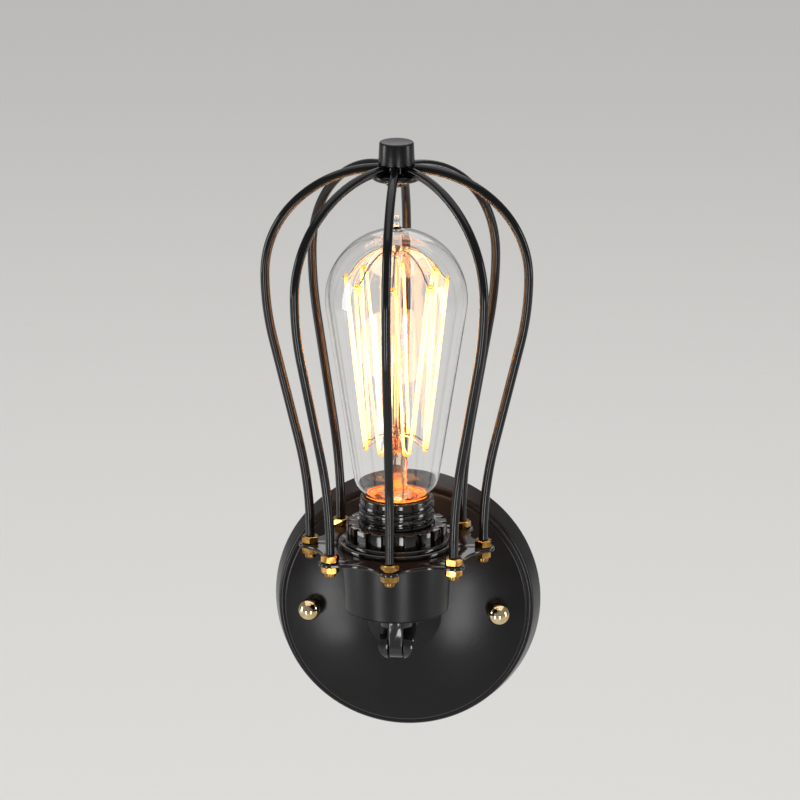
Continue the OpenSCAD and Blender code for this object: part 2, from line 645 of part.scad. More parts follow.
// Straight foot, outward bend, straight lean, belly, shoulder and crown, as radius against height
shoulder_c = [belly_r - shoulder_bend_r, belly_z];
crown_c = shoulder_c + (shoulder_bend_r - crown_bend_r)*[cos(shoulder_bend), sin(shoulder_bend)];
wire_path = concat([[wire_circle_r, wire_low]],
    arc([wire_circle_r + foot_bend_r, bend_z], foot_bend_r, 180, 180 - lean, 4),
    arc([belly_r - belly_bend_r, belly_z], belly_bend_r, -lean, 0, 4),
    without_first(arc(shoulder_c, shoulder_bend_r, 0, shoulder_bend, 6)),
    without_first(arc(crown_c, crown_bend_r, shoulder_bend, 90, 7)),
    [[wire_stop_r, hub_z]]);
module cage_wire(i) color("#111112") on_lamp_axis() rotate([0, 0, (i - 3)*2*half_step])
    sweep(upright(wire_path), wire_r, wire_sides, [0, 1, 0]);
module cage_wire_1() cage_wire(1);
module cage_wire_2() cage_wire(2);
module cage_wire_3() cage_wire(3);
module cage_wire_4() cage_wire(4);
module cage_wire_5() cage_wire(5);
module cage_wire_6() cage_wire(6);
module cage_wire_7() cage_wire(7);
module cage_wire_8() cage_wire(8);

module upper_cage_nuts() color("#c9a45a") on_lamp_axis() around(wires, wire_circle_r)
    translate([0, 0, ring_top]) hex_nut(nut_af, nut_h, wire_r + bore_gap);
module lower_cage_nuts() color("#c9a45a") on_lamp_axis() around(wires, wire_circle_r)
    translate([0, 0, cup_rim - nut_h]) hex_nut(nut_af, nut_h, wire_r + bore_gap);

module hub_disc() color("#111112") on_lamp_axis() translate([0, 0, hub_disc_z]) difference() {
    rotate_extrude() polygon([[0, 0], [hub_disc_d/2 - 1, 0], [hub_disc_d/2, 1],
        [hub_disc_d/2, hub_disc_t - 0.5], [hub_disc_d/2 - 0.5, hub_disc_t], [0, hub_disc_t]]);
    translate([0, 0, -1]) cylinder(h = hub_disc_t + 2, r = hub_screw_d/2 + bore_gap);
}
module hub_screw() color("#2a2a2c") on_lamp_axis() {
    translate([0, 0, hub_disc_z - hub_screw_head_h]) cylinder(h = hub_screw_head_h, r = hub_screw_head_d/2);
    translate([0, 0, hub_disc_z])
        cylinder(h = hub_z + wire_r + knob_bore - 0.5 - hub_disc_z, r = hub_screw_d/2);
}
module hub_knob() color("#161617") on_lamp_axis() translate([0, 0, hub_z + wire_r]) difference() {
    rotate_extrude() polygon(concat([[0, 0], [knob_d/2 - 0.3, 0], [knob_d/2, 0.3]],
        arc([knob_d/2 - knob_edge, knob_h - knob_edge], knob_edge, 0, 90, 4), [[0, knob_h]]));
    translate([0, 0, -1]) cylinder(h = knob_bore + 1, r = hub_screw_d/2 + bore_gap);
}

// ---- bulb ----

function cap_line(inset) = concat(
    [[cap_low_r - inset, cap_low + inset], [cap_d/2 - thread_depth - inset, cap_thread_z - 0.4]],
    cap_thread(-inset), [[cap_d/2 + 0.1 - inset, cap_plain_z], [cap_d/2 + 0.1 - inset, cap_top - 0.5],
    [collar_r - 0.1 - inset, collar_top - collar_lip], [collar_r - inset, collar_top]]);
module bulb_cap() color("#b08d4a") on_lamp_axis() rotate_extrude()
    polygon(concat(cap_line(0), reversed(cap_line(cap_t))));
module cap_insulator() color("#101014") on_lamp_axis() translate([0, 0, cap_low - cap_insulator_h])
    rotate_extrude() polygon([[0, 0], [cap_contact_r, 0], [cap_low_r - seat, cap_insulator_h - seat],
        [cap_low_r - cap_t - 0.1, cap_insulator_h - seat], [cap_low_r - cap_t - 0.1, cap_insulator_h + 1],
        [0, cap_insulator_h + 1]]);
module cap_contact() color("#b9bcc0") on_lamp_axis() translate([0, 0, cap_bottom])
    cylinder(h = cap_contact_t/2, r1 = cap_contact_r - 0.8, r2 = cap_contact_r);

// The cement that holds the glass in the cap: a plug under the glass's foot and a skin up its outside
module cap_cement() color("#c8762c") on_lamp_axis() difference() {
    rotate_extrude() polygon([[0, cement_low], [cap_d/2 + 0.1 - cap_t - seat, cement_low],
        [cap_d/2 + 0.1 - cap_t - seat, cap_top - 0.5],
        [collar_r - 0.1 - cap_t - seat, collar_top - collar_lip],
        [neck_r + seat, cement_skin_top], [neck_r + seat, glass_foot - seat], [0, glass_foot - seat]]);
    for (x = [-1, 1]) translate([x*lead_in_x, 0, cement_low - 1])
        cylinder(h = cement_h + 2, r = lead_in_d/2 + 0.02);
}

function glass_line(inset) = concat(
    [[neck_r - inset, glass_foot]],
    arc([neck_round_x, neck_round_z], bulb_neck_round - inset,
        -acos((neck_r - inset - neck_round_x)/(bulb_neck_round - inset)), -bulb_taper, 8));
module bulb_glass() color("#dfe6e8", 0.35) on_lamp_axis() rotate_extrude($fn = 96) polygon(concat(
    glass_line(0), arc([0, bulb_z], bulb_r, -bulb_taper, acos(pip_foot_r/bulb_r), 18),
    [[pip_r + 0.3, bulb_z + bulb_r + 1.2]],
    arc([0, bulb_z + bulb_r + pip_h - pip_r], pip_r, 0, 90, 4),
    reversed(concat(glass_line(glass_t), arc([0, bulb_z], bulb_r - glass_t, -bulb_taper, 90, 18)))));

// Flare, press and rod in one piece of glass, with holes for the lead-in wires
module bulb_stem() color("#cfd8da", 0.5) on_lamp_axis() difference() {
    union() {
        rotate_extrude() polygon([[0, glass_foot], [neck_r - glass_t - seat, glass_foot],
            [neck_r - glass_t - seat, glass_foot + flare_t], [stem_tube_r + 2, glass_foot + flare_t + 3],
            [stem_tube_r, glass_foot + flare_t + 8], [stem_tube_r, stem_top - 4], [rod_r, stem_top],
            [rod_r, rod_top], [0, rod_top]]);
        translate([0, 0, rod_top]) sphere(r = button_r);
    }
    for (x = [-1, 1]) translate([x*lead_in_x, 0, glass_foot - 1])
        cylinder(h = stem_top - glass_foot + 2, r = lead_in_d/2 + 0.02);
}

// Two spiders of hook wires on the glass rod
module filament_hooks() color("#8d8a84") on_lamp_axis() {
    hook_spider(hook_top_z, hook_top_r, 0, hook_top_drop);
    hook_spider(hook_low_z, hook_low_r, half_turn, hook_low_drop);
}
half_turn = 360/strands;
module hook_spider(z, reach, turn, drop) {
    run = reach - rod_r - 0.5 - strand_d;
    translate([0, 0, z + drop - 0.6]) tube(rod_r + 1, rod_r + seat, 1.2);
    for (i = [0:strands/2 - 1]) rotate([0, 0, turn + i*720/strands]) translate([rod_r + 0.5, 0, z + drop])
        rotate([0, 90 + atan(drop/run), 0]) cylinder(h = norm([run, drop]), r = hook_wire_d/2);
}

module lead_in_wires() color("#8d8a84") on_lamp_axis()
    for (x = [-1, 1]) translate([x*lead_in_x, 0, cap_low + 2])
        cylinder(h = hook_low_z + hook_low_drop - 0.7 - cap_low - 2, r = lead_in_d/2);

// One wire that runs up and down between the hooks: half turns joined by straight strands
function hook_point(i) = i % 2 == 0 ? on_circle(hook_low_r, i*half_turn + half_turn, hook_low_z)
    : on_circle(hook_top_r, i*half_turn + half_turn, hook_top_z);
filament_points = [for (i = [0:strands - 1]) let (p = hook_point(i), up = i % 2 == 0 ? -1 : 1,
    a = i*half_turn + half_turn, side = [-sin(a), cos(a), 0]) for (k = [0:bend_steps])
        let (b = -90 + 180*k/bend_steps) p + hook_bend_r*(sin(b)*side + [0, 0, up*cos(b)])];
module filament() color("#ffb347") on_lamp_axis()
    sweep(filament_points, strand_d/2, strand_sides);

back_plate();
wall_bracket();
bracket_studs();
ball_nuts();
earth_screw();
stem_tube();
stem_lock_nut();
stem_washer();
stem_flange();
stem_sleeve();
supply_leads();
knuckle_fork();
knuckle_screw();
knuckle_tongue();
cup_nipple();
toothed_washer();
lamp_cup();
holder_base();
terminal_insert();
terminal_screws();
lamp_leads();
centre_contact();
screw_shell();
holder_sleeve();
shade_ring();
cage_ring();
cage_wire_1();
cage_wire_2();
cage_wire_3();
cage_wire_4();
cage_wire_5();
cage_wire_6();
cage_wire_7();
cage_wire_8();
upper_cage_nuts();
lower_cage_nuts();
hub_disc();
hub_screw();
hub_knob();
bulb_cap();
cap_insulator();
cap_contact();
cap_cement();
bulb_glass();
bulb_stem();
filament_hooks();
lead_in_wires();
filament();
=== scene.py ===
"""Cage wall light: the finishes and the fine shapes of a wall light with a caged filament bulb.

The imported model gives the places. Each sub-assembly is a class that holds its sizes in
millimetres, makes its pieces about its own axis and sets them in the shared frame, in metres.
"""

import logging
import math
from collections.abc import Iterable, Sequence
from dataclasses import dataclass
from enum import Enum
from functools import cache

import bmesh
import bpy
from mathutils import Matrix, Vector

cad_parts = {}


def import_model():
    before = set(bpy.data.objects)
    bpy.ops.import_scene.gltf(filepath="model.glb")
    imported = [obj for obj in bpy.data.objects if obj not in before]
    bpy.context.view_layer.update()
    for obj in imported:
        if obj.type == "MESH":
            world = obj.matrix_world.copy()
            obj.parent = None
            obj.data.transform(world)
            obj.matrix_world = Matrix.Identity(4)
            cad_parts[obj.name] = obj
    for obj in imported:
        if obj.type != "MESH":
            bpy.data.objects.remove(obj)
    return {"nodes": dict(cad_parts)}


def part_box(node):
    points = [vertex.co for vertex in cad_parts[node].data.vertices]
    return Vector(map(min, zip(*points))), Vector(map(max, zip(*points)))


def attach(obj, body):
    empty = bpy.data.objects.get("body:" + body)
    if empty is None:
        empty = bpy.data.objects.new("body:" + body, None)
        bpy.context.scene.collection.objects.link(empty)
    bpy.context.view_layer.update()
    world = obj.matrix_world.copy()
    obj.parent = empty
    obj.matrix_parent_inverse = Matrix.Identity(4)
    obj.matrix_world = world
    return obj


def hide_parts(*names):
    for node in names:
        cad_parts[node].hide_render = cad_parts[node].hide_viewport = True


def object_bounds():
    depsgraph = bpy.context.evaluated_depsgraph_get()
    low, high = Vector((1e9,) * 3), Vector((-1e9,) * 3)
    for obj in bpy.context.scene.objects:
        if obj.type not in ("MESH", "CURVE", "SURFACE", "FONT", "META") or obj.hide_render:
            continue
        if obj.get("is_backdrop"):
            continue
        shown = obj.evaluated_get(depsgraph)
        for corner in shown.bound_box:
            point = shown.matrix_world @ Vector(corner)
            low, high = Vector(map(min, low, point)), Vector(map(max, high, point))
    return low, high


LOG = logging.getLogger("cage_wall_light")
MM = 0.001
PICTURE_SIDE = 800
SMOOTH_BELOW = math.radians(35)
FLAT_BELOW = math.radians(0.4)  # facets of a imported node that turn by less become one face
ON_AXIS = 1e-6  # a smaller radius, in millimetres, is a point on the axis
WELD = 1e-4  # new points this close, in millimetres, become one
WELD_PACKED = 0.002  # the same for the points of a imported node

Point = tuple[float, float]
Colour = tuple[float, float, float, float]
Mesh = bmesh.types.BMesh
Node = bpy.types.Node
Socket = bpy.types.NodeSocket
Tree = bpy.types.NodeTree


class Body(Enum):
    """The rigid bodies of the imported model."""

    MOUNT = "mount"
    LAMP = "lamp"
    BULB = "bulb"


# ---- colours and node trees ----


def linear(colour: str) -> Colour:
    """Turns an sRGB colour into a linear one.

    Args:
        colour: The colour in hex, such as #1b1b1d.

    Returns:
        Its linear red, green, blue and alpha.
    """

    def channel(start: int) -> float:
        """One channel of the colour, as linear light."""
        value = int(colour[start : start + 2], 16) / 255
        return value / 12.92 if value <= 0.04045 else ((value + 0.055) / 1.055) ** 2.4

    return channel(1), channel(3), channel(5), 1.0


def add(tree: Tree, kind: str, settings: dict | None = None, links: dict | None = None) -> Node:
    """Adds a node to a tree.

    Args:
        tree: The tree that gets the node.
        kind: The node's type.
        settings: Values, by the name of an attribute or by the name or number of an input.
        links: By the name or number of an input, the socket that feeds it, or the node whose
            first output does.

    Returns:
        The new node.
    """
    node = tree.nodes.new(kind)
    for key, value in (settings or {}).items():
        if isinstance(key, str) and hasattr(node, key):
            setattr(node, key, value)
        else:
            node.inputs[key].default_value = value
    for key, source in (links or {}).items():
        tree.links.new(source.outputs[0] if isinstance(source, Node) else source, node.inputs[key])
    return node


# ---- finishes ----


@dataclass(frozen=True)
class Surface:
    """A material while it is put together: its tree, its shader and where its patterns lie."""

    tree: Tree
    shader: Node
    place: Socket

    def feed(self, name: str, socket: Socket) -> None:
        """Links a socket to a named input of the shader."""
        self.tree.links.new(socket, self.shader.inputs[name])

    def stretched(self, *scale: float) -> "Surface":
        """The same surface, with its patterns scaled along the object's three axes."""
        mapping = add(self.tree, "ShaderNodeMapping", {"Scale": scale}, {"Vector": self.place})
        return Surface(self.tree, self.shader, mapping.outputs["Vector"])

    def drift(self, grain: float, low: float = 0, high: float = 1) -> Socket:
        """A value that wanders between two values over the surface.

        Args:
            grain: How large its patches are, in millimetres.
            low: The lower value.
            high: The higher value.

        Returns:
            The socket that gives the value.
        """
        grains = {"Scale": 1 / (grain * MM), "Detail": 3}
        noise = add(self.tree, "ShaderNodeTexNoise", grains, {"Vector": self.place})
        # The noise seldom leaves the middle of its range, so that part is spread out.
        spread = {"From Min": 0.3, "From Max": 0.7, "To Min": low, "To Max": high}
        return add(self.tree, "ShaderNodeMapRange", spread, {"Value": noise}).outputs["Result"]

    def gloss(self, grain: float, low: float, high: float) -> None:
        """Lets the roughness drift between two values, in patches of a size in millimetres."""
        self.feed("Roughness", self.drift(grain, low, high))

    def relief(self, grain: float, depth: float) -> None:
        """Raises the surface by bumps.

        Args:
            grain: How large the bumps are, in millimetres.
            depth: How far they stand out, in millimetres.
        """
        size = {"Strength": 1, "Distance": depth * MM}
        bump = add(self.tree, "ShaderNodeBump", size, {"Height": self.drift(grain)})
        self.feed("Normal", bump.outputs["Normal"])

    def tint(self, share: Socket, first: str, second: str, name: str = "Base Color") -> None:
        """Feeds a colour of the shader with two colours, mixed by the second one's share."""
        # A colour mix has its two colours at inputs 6 and 7 and its result at output 2.
        colours = {"data_type": "RGBA", 6: linear(first), 7: linear(second)}
        self.feed(name, add(self.tree, "ShaderNodeMix", colours, {0: share}).outputs[2])


@dataclass(frozen=True)
class Finish:
    """What every finish has, and the way its material is put together."""

    name: str
    slot: str
    colour: str
    roughness: float
    metallic: float = 0.0
    ior: float = 1.5
    specular: float = 0.5

    @cache
    def material(self) -> bpy.types.Material:
        """The finish as a material: a Principled shader that the finish's own pattern drives.

        Returns:
            The material, which is made once.
        """
        made = bpy.data.materials.new(self.name)
        made.use_nodes = True
        shader = made.node_tree.nodes["Principled BSDF"]
        for name, value in (
            ("Base Color", linear(self.colour)),
            ("Roughness", self.roughness),
            ("Metallic", self.metallic),
            ("IOR", self.ior),
            ("Specular IOR Level", self.specular),
        ):
            shader.inputs[name].default_value = value
        place = add(made.node_tree, "ShaderNodeTexCoord").outputs["Object"]
        self.pattern(Surface(made.node_tree, shader, place))
        return made

    def pattern(self, face: Surface) -> None:
        """Adds what varies over a surface; a plain finish only drifts a little in gloss."""
        patch, glossiest, dullest = 9, 0.85, 1.15
        face.gloss(patch, self.roughness * glossiest, self.roughness * dullest)


@dataclass(frozen=True)
class PowderCoat(Finish):
    """Polyester powder coat, baked on sheet steel: a broad soft shine over faint orange peel."""

    cloud: str = "#0e0e10"
    cloud_size: float = 22
    cure_size: float = 14
    peel: float = 1.1  # the real peel is about 0.5 mm, drawn coarser so that it shows
    peel_depth: float = 0.006
    slicker: float = 0.03
    duller: float = 0.04

    def pattern(self, face: Surface) -> None:
        """Drives gloss and colour by slow drifts of cure, and the relief by the peel.

        Args:
            face: The surface, before it has any pattern.
        """
        face.gloss(self.cure_size, self.roughness - self.slicker, self.roughness + self.duller)
        face.tint(face.drift(self.cloud_size), self.colour, self.cloud)
        face.relief(self.peel, self.peel_depth)


@dataclass(frozen=True)
class WireLacquer(Finish):
    """Stoving enamel on drawn steel wire: a tight bright line, softened by flow marks."""

    shine_size: float = 1.6
    run: float = 1.2
    run_depth: float = 0.012
    run_stretch: float = 0.12
    slicker: float = 0.03
    duller: float = 0.04

    def pattern(self, face: Surface) -> None:
        """Drives gloss and relief by runs of enamel that lie along the wire.

        Args:
            face: The surface, before it has any pattern.
        """
        along = face.stretched(1, 1, self.run_stretch)
        along.gloss(self.shine_size, self.roughness - self.slicker, self.roughness + self.duller)
        along.relief(self.run, self.run_depth)


@dataclass(frozen=True)
class Phenolic(Finish):
    """Compression-moulded phenolic: deep black with a wet shine and a faint cloud of filler."""

    filler: str = "#141210"
    filler_size: float = 3.5
    wear_size: float = 5
    fresh: float = 0.6
    worn: float = 1.5

    def pattern(self, face: Surface) -> None:
        """Drives the colour by filler clouds and the gloss by mould wear."""
        face.tint(face.drift(self.filler_size), self.colour, self.filler)
        face.gloss(self.wear_size, self.roughness * self.fresh, self.roughness * self.worn)


@dataclass(frozen=True, kw_only=True)
class TurnedMetal(Finish):
    """Turned and polished metal: a bright mirror with hair-fine rings and a little tarnish."""

    tarnish: str
    tarnish_size: float = 3
    polish_size: float = 2
    fresh: float = 0.7
    worn: float = 1.5
    ring: float = 0.35  # tool rings are about 0.1 mm apart, drawn coarser so that they show
    ring_depth: float = 0.002
    ring_stretch: float = 0.05

    def pattern(self, face: Surface) -> None:
        """Drives the colour by tarnish, the gloss by polish and the relief by the tool's rings.

        Args:
            face: The surface, before it has any pattern.
        """
        face.tint(face.drift(self.tarnish_size), self.colour, self.tarnish)
        face.gloss(self.polish_size, self.roughness * self.fresh, self.roughness * self.worn)
        rings = face.stretched(self.ring_stretch, self.ring_stretch, 1)
        rings.relief(self.ring, self.ring_depth)


@dataclass(frozen=True)
class Passivated(Finish):
    """Zinc plate, passivated: a grey satin metal with a patchy, faintly blue bloom."""

    bloom: str = "#a3abb8"
    crystal: float = 1.5
    slicker: float = 0.08
    duller: float = 0.1

    def pattern(self, face: Surface) -> None:
        """Drives colour and gloss by the crystals of the plating.

        Args:
            face: The surface, before it has any pattern.
        """
        grains = {"Scale": 1 / (self.crystal * MM)}
        crystals = add(face.tree, "ShaderNodeTexVoronoi", grains, {"Vector": face.place})
        face.tint(crystals.outputs["Distance"], self.colour, self.bloom)
        face.gloss(self.crystal, self.roughness - self.slicker, self.roughness + self.duller)


@dataclass(frozen=True)
class Fired(Finish):
    """Fired ceramic and other dull mouldings: an even matt body with small specks."""

    speck: str = "#a8987c"
    speck_size: float = 0.5
    speck_rarity: float = -1.5  # the further below 0, the fewer specks
    grain: float = 0.4
    grain_depth: float = 0.02

    def pattern(self, face: Surface) -> None:
        """Drives the colour by specks and the relief by the grain of the body."""
        face.tint(face.drift(self.speck_size, self.speck_rarity), self.colour, self.speck)
        face.relief(self.grain, self.grain_depth)


@dataclass(frozen=True)
class BlownGlass(Finish):
    """Blown soda-lime glass: clear, with slow waves from blowing, and it lets the lamps through."""

    wave: float = 16
    wave_depth: float = 0.01

    def pattern(self, face: Surface) -> None:
        """Makes the body clear, adds the waves, and lets shadow and diffuse rays pass straight.

        Args:
            face: The surface, before it has any pattern.
        """
        face.shader.inputs["Transmission Weight"].default_value = 1
        face.relief(self.wave, self.wave_depth)
        rays = add(face.tree, "ShaderNodeLightPath").outputs
        kinds = {0: rays["Is Shadow Ray"], 1: rays["Is Diffuse Ray"]}
        passing = add(face.tree, "ShaderNodeMath", {"operation": "MAXIMUM"}, kinds)
        clear = add(face.tree, "ShaderNodeBsdfTransparent", {"Color": linear(self.colour)})
        mix = add(face.tree, "ShaderNodeMixShader", links={0: passing, 1: face.shader, 2: clear})
        output = face.tree.nodes["Material Output"]
        face.tree.links.new(mix.outputs["Shader"], output.inputs["Surface"])


@dataclass(frozen=True)
class Incandescent(Finish):
    """A carbon filament at work: white hot along its strands and orange where the hooks cool it."""

    hot: str = "#ffa448"
    cool: str = "#ff8c30"
    strength: float = 11.0
    cool_strength: float = 2.2
    low: float = 0.0912
    high: float = 0.166
    cooled: float = 0.004

    def pattern(self, face: Surface) -> None:
        """Lets the glow fall off over the last stretch of each strand, by its height in metres.

        Args:
            face: The surface, before it has any pattern.
        """
        middle, reach = (self.low + self.high) / 2, (self.high - self.low) / 2
        height = add(face.tree, "ShaderNodeSeparateXYZ", links={0: face.place}).outputs["Z"]
        above = {"operation": "SUBTRACT", 1: middle}
        off_middle = add(face.tree, "ShaderNodeMath", above, {0: height})
        distance = add(face.tree, "ShaderNodeMath", {"operation": "ABSOLUTE"}, {0: off_middle})
        ends = {"From Min": reach + self.cooled / 3, "From Max": reach - self.cooled}
        heat = add(face.tree, "ShaderNodeMapRange", ends, {"Value": distance}).outputs["Result"]
        face.tint(heat, self.cool, self.hot, "Emission Color")
        powers = {"To Min": self.cool_strength, "To Max": self.strength}
        power = add(face.tree, "ShaderNodeMapRange", powers, {"Value": heat})
        face.feed("Emission Strength", power.outputs["Result"])


PLATE_COAT = PowderCoat("satin_powder_coat", "plate_black", "#0a0a0b", 0.24, specular=0.2)
CUP_COAT = PowderCoat("satin_powder_coat_cup", "cup_black", "#0d0d0e", 0.34, specular=0.22)
WIRE_COAT = WireLacquer("black_stoving_enamel", "wire_black", "#08080a", 0.12, specular=0.3)
RING_COAT = WireLacquer("gloss_stoving_enamel", "ring_black", "#08080a", 0.1, specular=0.4)
HUB_COAT = PowderCoat("satin_enamel_hub", "hub_black", "#0c0c0d", 0.26, specular=0.25)
KNUCKLE_COAT = PowderCoat("gloss_enamel_knuckle", "knuckle_black", "#09090a", 0.13, specular=0.5)
SCREW_BLACK = TurnedMetal(
    "blackened_steel", "knuckle_screw", "#3c3c3f", 0.3, 1.0, tarnish="#29292b"
)
ZINC = Passivated("passivated_zinc", "zinc_steel", "#b9bcc0", 0.3, 1.0)
BRASS = TurnedMetal("rolled_brass", "brass", "#c9a45a", 0.25, 1.0, tarnish="#a87c3a")
NUT_BRASS = TurnedMetal("polished_brass", "nut_brass", "#c89d52", 0.07, 1.0, tarnish="#6e4722")
BALL_BRASS = TurnedMetal(
    "nickel_washed_brass", "ball_brass", "#d3c3a4", 0.06, 1.0, tarnish="#bfa678"
)
MOULDING = Phenolic("black_phenolic", "bakelite", "#070708", 0.09, specular=0.5)
STEATITE = Fired("steatite", "insert_ceramic", "#e6e0d2", 0.55)
SILICONE = Fired("silicone_sleeve", "lead_sleeve", "#7a3b22", 0.5, speck="#6a2f1a")
CAP_BRASS = TurnedMetal("baked_brass", "cap_brass", "#7d5a2c", 0.4, 1.0, tarnish="#4a3418")
THREAD_BRASS = TurnedMetal("oiled_brass", "brass", "#8f6d39", 0.25, 1.0, tarnish="#5b4424")
BLACK_GLASS = Phenolic("vitrite_glass", "cap_insulator", "#101014", 0.1)
SOLDER = Passivated("soft_solder", "solder", "#b9bcc0", 0.4, 1.0, bloom="#8f9398")
# The basing cement's bright orange is partly its own amber and partly painted glow, standing in for
# the filament's light falling on it.
CEMENT_WITH_PAINTED_GLOW = Fired("basing_cement_painted_glow", "cement", "#e08a34", 0.6, speck="#c06c22")
CLEAR_GLASS = BlownGlass("clear_soda_glass", "bulb_glass", "#ffffff", 0.0, ior=1.46)
STEM_GLASS = BlownGlass("lead_glass", "stem_glass", "#fff0d8", 0.0, ior=1.56, wave_depth=0.05)
HOOK_WIRE = Passivated("molybdenum_wire", "hook_wire", "#8d8a84", 0.35, 1.0, bloom="#6f675a")
CARBON_GLOW = Incandescent("glowing_carbon", "filament", "#2a1a10", 0.6)


# ---- outlines and meshes, in millimetres ----


def arc(centre: Point, radius: float, start: float, end: float, steps: int) -> list[Point]:
    """Points along an arc.

    Args:
        centre: The arc's centre.
        radius: Its radius.
        start: The angle of its first point, in degrees.
        end: The angle of its last point.
        steps: How many chords it has.

    Returns:
        The points, both ends included.
    """
    angles = [math.radians(start + (end - start) * i / steps) for i in range(steps + 1)]
    return [(centre[0] + radius * math.cos(a), centre[1] + radius * math.sin(a)) for a in angles]


def circle(radius: float, steps: int, centre: Point = (0, 0)) -> list[Point]:
    """The points of a whole circle, as a closed outline."""
    return arc(centre, radius, 0, 360, steps)[:-1]


def rounded(corners: Sequence[tuple[float, float, float]], steps: int = 5) -> list[Point]:
    """A closed outline with its corners rounded.

    Args:
        corners: For each corner, its two coordinates and its radius.
        steps: How many chords a rounded corner has.

    Returns:
        The outline's points.
    """
    points: list[Point] = []
    for before, here, after in zip([corners[-1], *corners], corners, [*corners[1:], corners[0]]):
        corner, radius = Vector(here[:2]), here[2]
        if not radius:
            points.append(corner.to_tuple())
            continue
        back = (Vector(before[:2]) - corner).normalized()
        ahead = (Vector(after[:2]) - corner).normalized()
        half = back.angle(ahead) / 2
        centre = corner + (back + ahead).normalized() * radius / math.sin(half)
        first = corner + back * radius / math.tan(half) - centre
        last = corner + ahead * radius / math.tan(half) - centre
        points += [(centre + first.slerp(last, i / steps)).to_tuple() for i in range(steps + 1)]
    return points


def smooth_path(points: Sequence[Sequence[float]], steps: int) -> list[Vector]:
    """A smooth line through some points.

    Args:
        points: The points, in the order of the line.
        steps: How many chords join one point to the next.

    Returns:
        The line's own points, both ends included.
    """
    knots = [Vector(p) for p in points]
    knots = [2 * knots[0] - knots[1], *knots, 2 * knots[-1] - knots[-2]]
    line = []
    for a, b, c, d in zip(knots, knots[1:], knots[2:], knots[3:]):
        for i in range(steps):
            t = i / steps
            square = (2 * a - 5 * b + 4 * c - d) * t * t / 2
            cube = (3 * b - 3 * c + d - a) * t**3 / 2
            line.append(b + (c - a) * t / 2 + square + cube)
    return [*line, knots[-2]]


def spun(profile: Sequence[Point], sides: int) -> Mesh:
    """A closed profile of radius against height, turned round the Z axis.

    Args:
        profile: The profile's points. It may start and end on the axis.
        sides: How many sides the round shape has.

    Returns:
        A closed mesh whose faces point outwards.
    """
    mesh = bmesh.new()
    turns = circle(1, sides)
    rings = []
    for radius, height in profile:
        if radius < ON_AXIS:
            rings.append([mesh.verts.new((0, 0, height))] * sides)
        else:
            rings.append([mesh.verts.new((radius * x, radius * y, height)) for x, y in turns])
    for lower, upper in zip(rings, [*rings[1:], rings[0]]):
        for k in range(sides):
            following = (k + 1) % sides
            corners = (lower[k], lower[following], upper[following], upper[k])
            face = list(dict.fromkeys(corners))
            if len(face) > 2:
                mesh.faces.new(face)
    bmesh.ops.recalc_face_normals(mesh, faces=mesh.faces)
    return mesh


def stamped(
    outline: Sequence[Point],
    holes: Iterable[Sequence[Point]],
    low: float,
    high: float,
    edge: float,
) -> Mesh:
    """A flat outline with holes, raised to a plate whose edges are rounded.

    Args:
        outline: The outer outline.
        holes: The outlines of its holes.
        low: The height of the plate's underside.
        high: The height of its top.
        edge: The radius of its edges.

    Returns:
        A closed mesh whose faces point outwards.
    """
    curve = bpy.data.curves.new("outline", "CURVE")
    curve.dimensions = "2D"
    curve.fill_mode = "BOTH"
    curve.extrude = (high - low) / 2 - edge
    curve.bevel_depth = edge
    curve.bevel_resolution = 2
    curve.offset = -edge
    for points in (outline, *holes):
        spline = curve.splines.new("POLY")
        spline.points.add(len(points) - 1)
        for knot, (x, y) in zip(spline.points, points):
            knot.co = (x, y, 0, 1)
        spline.use_cyclic_u = True
    holder = bpy.data.objects.new("outline", curve)
    flat = bpy.data.meshes.new_from_object(holder)
    mesh = bmesh.new()
    mesh.from_mesh(flat)
    bmesh.ops.translate(mesh, verts=mesh.verts, vec=(0, 0, (low + high) / 2))
    bmesh.ops.remove_doubles(mesh, verts=mesh.verts, dist=WELD)
    bmesh.ops.recalc_face_normals(mesh, faces=mesh.faces)
    bpy.data.objects.remove(holder)
    bpy.data.meshes.remove(flat)
    return mesh


def line_seed(points: Iterable[Sequence[float]], closed: bool = False) -> Mesh:
    """A mesh of edges that join points in their order.

    Args:
        points: The points.
        closed: Whether an edge joins the last point to the first.

    Returns:
        The mesh.
    """
    mesh = bmesh.new()
    knots = [mesh.verts.new(p) for p in points]
    for a, b in zip(knots, knots[1:] + (knots[:1] if closed else [])):
        mesh.edges.new((a, b))
    return mesh


def eased(node: bpy.types.Object, width: float) -> Mesh:
    """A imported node's mesh with its sharp edges broken, as a tumbled or painted part's are.

    Args:
        node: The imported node.
        width: How wide the broken edges are, in millimetres.

    Returns:
        The mesh, in millimetres.
    """
    mesh = bmesh.new()
    mesh.from_mesh(node.data)
    bmesh.ops.remove_doubles(mesh, verts=mesh.verts, dist=WELD_PACKED * MM)
    bmesh.ops.dissolve_limit(mesh, angle_limit=FLAT_BELOW, verts=mesh.verts, edges=mesh.edges)
    sharp = [e for e in mesh.edges if e.is_manifold and e.calc_face_angle(0) > SMOOTH_BELOW]
    bevel = {"offset": width * MM, "segments": 2, "profile": 0.5, "affect": "EDGES"}
    bmesh.ops.bevel(mesh, geom=sharp, clamp_overlap=True, **bevel)
    bmesh.ops.scale(mesh, vec=(1 / MM,) * 3, verts=mesh.verts)
    return mesh


